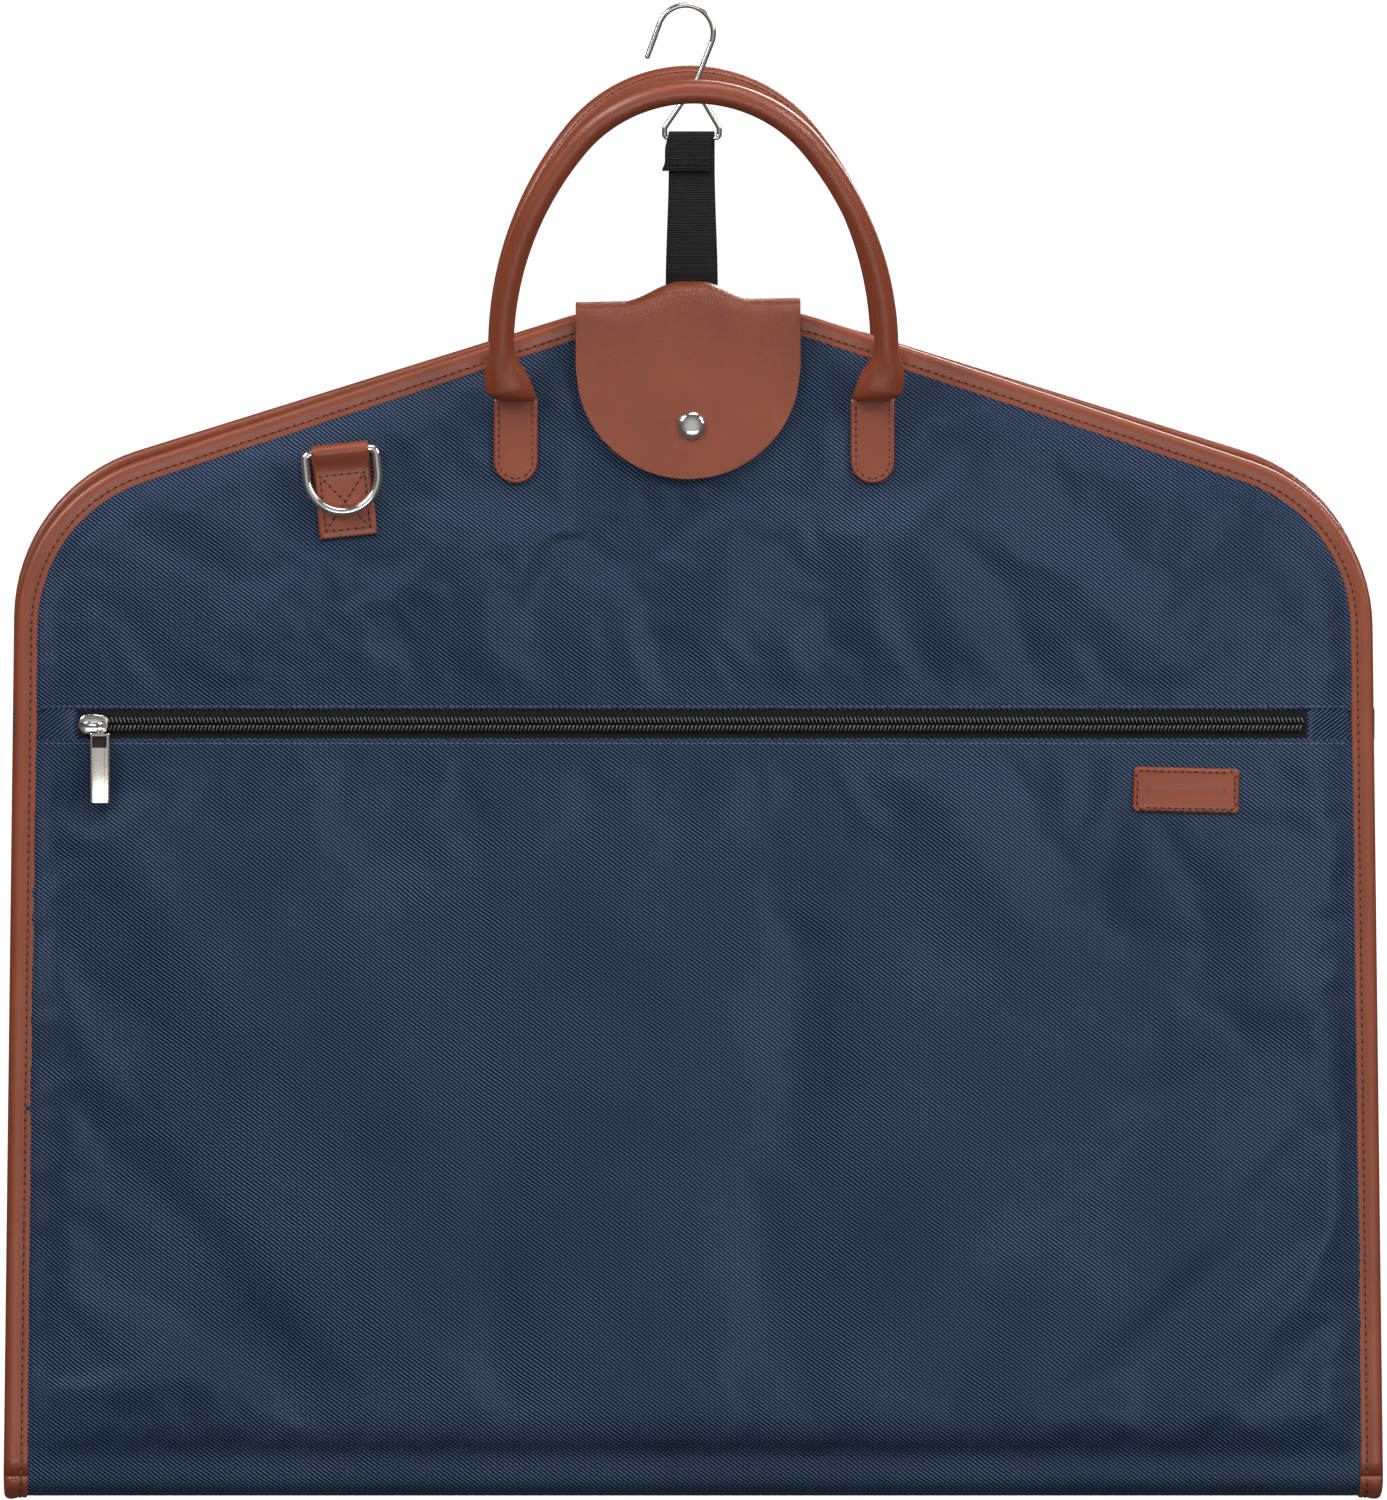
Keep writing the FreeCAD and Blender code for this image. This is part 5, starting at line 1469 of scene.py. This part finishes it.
def main_zip(side):
    """The main zip on the inner side of one leaf."""
    low, high = span(f"{side}_main_zip_tapes")
    for part, start, end in (("left", low.x, -0.1), ("right", 0.1, high.x)):
        tape = soft_box(f"{side}_main_tape_{part}", (start, low.y, low.z), (end, high.y, high.z), TAPE, 0.2)
        assign(tape, "zip_tape", f"{side}_leaf", f"{side}_main_zip_tapes")
    low, high = span(f"{side}_main_zip_coils")
    middle = (low + high) / 2
    origin = np.array([middle.x, middle.y, low.z])
    out = (0, -OUTWARD[side], 0)
    nodes = ([f"{side}_main_zip_coils"], [])
    zip_chain(f"{side}_main_coil", origin, (0, 0, 1), (1, 0, 0), out, high.z - low.z, f"{side}_leaf", nodes)


SLIDER_X, SLIDER_DEPTH, SLIDER_PLATE = -265.1, 16.4, 1.2
PIN_DEPTH, PULL_X, PULL_TOP, PULL_LOW = 19.5, -262.25, 337.9, 306.9


def pocket_slider():
    """Shield-shaped slider with a raised crown over the pull's pin."""
    to_bag = on_leaf("front", SLIDER_X - LEAF_SHIFT, ZIP_CENTRE, SLIDER_DEPTH)
    nose, _ = turn((-2.2, 0), 4.7, math.radians(112), math.radians(248), 0.8)
    flank = [(0.6, -4.6), (3.6, -3.9), (5.6, -3.4), (6.2, -2.2)]
    shape = refine(np.concatenate([nose, flank, [(x, -z) for x, z in reversed(flank)]]), 0.8)
    dome = soft_edge(SLIDER_PLATE, 0.55)

    def height(distance, across, up):
        """The plate's face, a little higher in the middle."""
        return dome(distance) + 0.25 * np.minimum(distance, 2.5)
    plate = relief("slider_plate", shape, 0.6, height, to_bag, NICKEL, 0.55)
    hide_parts("pocket_slider")
    arch = []
    for angle in np.linspace(0, math.pi, 21):
        out = SLIDER_DEPTH + 0.8 + 3.6 * math.sin(angle) ** 0.6
        arch.append((SLIDER_X - 1.1 - 4.5 * math.cos(angle), -out, ZIP_CENTRE))
    crown = tube("slider_crown", arch, (0.55, 1.25), NICKEL, 14, normal=(0, 0, 1))
    rim = [
        (SLIDER_X + 2.7 + 3.3 * math.cos(angle), -(SLIDER_DEPTH + 1.5), ZIP_CENTRE + 3.9 * math.sin(angle))
        for angle in np.linspace(math.radians(78), math.radians(-78), 15)
    ]
    bow = tube("slider_rim", rim, 0.5, NICKEL, 12)
    for one in (plate, crown, bow):
        assign(one, "nickel", "pocket_slider")


def pocket_pull():
    """Flat bar pull with a window at its top and a bevel down its right edge."""
    thick = 1.5
    half = (PULL_TOP - PULL_LOW) / 2
    to_bag = on_leaf("front", PULL_X - LEAF_SHIFT, (PULL_TOP + PULL_LOW) / 2, PIN_DEPTH - thick / 2)
    # the front's height across the bar: a low crown, a groove and a bright ridge before the right edge
    profile_x = [-4.4, -4.25, -4.0, -3.44, -3.36, -1.0, 1.9, 2.05, 2.6, 2.75, 2.96, 3.04, 3.7, 4.1, 4.4]
    profile_y = [0.9, 1.25, 1.38, 1.46, 1.47, 1.56, 1.36, 0.75, 0.75, 1.5, 1.5, 1.49, 1.42, 1.1, 0.8]
    columns = np.array(sorted({*profile_x, -2.5, 0.5}))
    window = (half - 6.4, half - 1.3)
    edges = [-half, -half + 0.15, -half + 0.4]
    sills = [side + step for side in window for step in (-0.04, 0.04)]
    rows = np.array(edges + sills + [-z for z in edges[::-1]])

    def in_window(across, up):
        """Whether a point lies in the window."""
        return (across > -3.4) & (across < 3.0) & (up > window[0]) & (up < window[1])

    def height(across, up):
        """The bar's face, rounded at both ends, with the window sunk in."""
        end = np.clip((0.4 - (half - np.abs(up))) / 0.4, 0, 1)
        body = np.interp(across, profile_x, profile_y) - 0.4 * (1 - np.sqrt(1 - end**2))
        return np.where(in_window(across, up), 0.5, body)
    # the window's faces get near-black painted shade
    bar = grid_plate("pull_bar", columns, rows, height, to_bag, [PULL_NICKEL, WINDOW_SHADE], in_window)
    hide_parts("pocket_pull")
    parts = [bar]
    reach = 1.45
    eye = [(PULL_X + way * reach, -PIN_DEPTH, ZIP_CENTRE) for way in (-1, 1)]
    parts.append(tube("pull_eye", eye, 1.35, PULL_NICKEL, 20, normal=(0, 0, 1)))
    for name, way in (("left", -1), ("right", 1)):
        heights = (ZIP_CENTRE - 0.8, PULL_TOP + 1, PULL_TOP - 0.6)
        arm = [(PULL_X + way * reach * 0.6, -PIN_DEPTH, z) for z in heights]
        parts.append(tube(f"pull_arm_{name}", arm, 0.55, PULL_NICKEL, 12))
    for one in parts:
        assign(one, "nickel", "pocket_pull")


# ---- CAD pieces that stay


def finish_cad_nodes():
    """Give every CAD piece that stays in view its material and smooth faces."""
    boxy = ("main_slider", "main_pull")
    metal = ("hanger_hook", "front_d_ring", "rear_d_ring", "snap_socket", "snap_stud", *boxy)
    finishes = {node: NICKEL for node in metal} | {f"{side}_handle_core": CORD for side in OUTWARD}
    for node, finish in finishes.items():
        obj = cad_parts[node]
        obj.data.materials.clear()
        obj.data.materials.append(finish)
        if node in boxy:
            add_modifier(obj, "BEVEL", width=0.3 * MM, segments=3)
        else:
            obj.data.shade_smooth()


# ---- studio


# name, place, size in metres and power in watts
LAMPS = (
    ("key", (-1.8, -1.6, 1.4), (1.1, 1.1), 50),
    ("side", (2.0, -1.4, 1.0), (0.7, 1.2), 34),
    ("top", (0.3, -0.8, 1.7), (1.4, 0.6), 16),
    ("low", (0.2, -2.6, -1.3), (1.8, 0.5), 15),
    ("back", (0.9, 2.2, 1.1), (1.5, 1.5), 52),
)


def add_area_light(name, spot, aim, size, power):
    """A soft rectangular lamp that looks at a point."""
    lamp = bpy.data.lights.new(name, "AREA")
    lamp.shape = "RECTANGLE"
    lamp.size, lamp.size_y = size
    lamp.energy = power
    obj = bpy.data.objects.new(name, lamp)
    bpy.context.scene.collection.objects.link(obj)
    obj.location = spot
    obj.rotation_euler = (Vector(aim) - Vector(spot)).to_track_quat("-Z", "Y").to_euler()


def surroundings():
    """Soft light all round, brightest from the viewer's side."""
    world = bpy.data.worlds.new("studio_world")
    bpy.context.scene.world = world
    world.use_nodes = True
    nodes = world.node_tree.nodes
    links = world.node_tree.links
    sky = nodes["Background"]
    sky.inputs["Color"].default_value = (0.95, 0.97, 1.0, 1)
    split = nodes.new("ShaderNodeSeparateXYZ")
    links.new(nodes.new("ShaderNodeTexCoord").outputs["Generated"], split.inputs[0])
    last = split.outputs["Y"]
    # strength is 0.1 all round and up to 0.5 more towards the viewer
    steps = (("MULTIPLY", -1.0), ("MAXIMUM", 0.0), ("POWER", 9.0), ("MULTIPLY", 0.5), ("ADD", 0.10))
    for operation, value in steps:
        step = nodes.new("ShaderNodeMath")
        step.operation = operation
        step.inputs[1].default_value = value
        links.new(last, step.inputs[0])
        last = step.outputs[0]
    links.new(last, sky.inputs["Strength"])


def stage_plate(name, material, reach, foot, ceiling=None):
    """A floor, or with a ceiling a room, that only the camera sees: it lights nothing, metal included."""
    corners = [(x, y, foot) for x, y in ((-reach, -reach), (reach, -reach), (reach, reach), (-reach, reach))]
    faces = [(0, 1, 2, 3)]
    if ceiling is not None:
        corners += [(x, y, ceiling) for x, y, _ in corners]
        faces += [(0, 1, 5, 4), (1, 2, 6, 5), (2, 3, 7, 6), (3, 0, 4, 7), (4, 5, 6, 7)]
    mesh = bpy.data.meshes.new(name)
    mesh.from_pydata(corners, [], faces)
    mesh.materials.append(material)
    obj = bpy.data.objects.new(name, mesh)
    bpy.context.scene.collection.objects.link(obj)
    obj.visible_diffuse = obj.visible_glossy = obj.visible_shadow = False


def studio():
    """Plain pale floor and room, soft lamps and soft surroundings."""
    low, high = cad_size
    pale = new_material("studio_pale", (0.9, 0.9, 0.9), 0.9)
    shader = pale.node_tree.nodes["Principled BSDF"]
    shader.inputs["Emission Color"].default_value = (1, 1, 1, 1)
    shader.inputs["Emission Strength"].default_value = 0.97
    # the floor lies below the opened rear leaf, and the room is wide enough for a long lens on any side
    leaf_drop = 0.62
    floor_reach, room_reach = 3.0, 22.0
    stage_plate("studio_floor", pale, floor_reach, low.z - leaf_drop)
    stage_plate("studio_room", pale, room_reach, -room_reach, room_reach)
    middle = (low + high) / 2
    for name, spot, size, power in LAMPS:
        add_area_light(name, spot, middle, size, power)
    surroundings()
    bpy.context.scene.view_settings.view_transform = "Standard"


def camera():
    """A long lens straight in front, framed like the photograph."""
    frame_height = 0.6654
    distance = 8.0
    centre_x, centre_z = 0.0004, -0.3292
    data = bpy.data.cameras.new("camera")
    data.sensor_width = 36
    data.lens = data.sensor_width * distance / frame_height
    data.clip_end = 50
    obj = bpy.data.objects.new("camera", data)
    bpy.context.scene.collection.objects.link(obj)
    obj.location = (centre_x, -distance, centre_z)
    obj.rotation_euler = (math.pi / 2, 0, 0)
    bpy.context.scene.camera = obj


twill_body()
twill_upper()
zip_patch("left", -301.5, ZIP_LEFT)
zip_patch("right", 301.5, ZIP_RIGHT)
hem_stitches("hem_stitches_upper", ZIP_CENTRE + ZIP_STITCH - 0.3)
hem_stitches("hem_stitches_lower", ZIP_CENTRE - ZIP_STITCH - 0.4)
pocket_lining()
for side_name in ("front", "rear"):
    for half_name in ("left", "right"):
        lining_half(side_name, half_name)
    leaf_edging(side_name)
    main_zip(side_name)
    handle(side_name)
    handle_tabs(side_name)
    ring_tab(side_name)
for end_name in ("left", "right"):
    fold_edging(end_name)
label()
flap()
snap()
strap()
pocket_zip()
pocket_slider()
pocket_pull()
finish_cad_nodes()
studio()
camera()
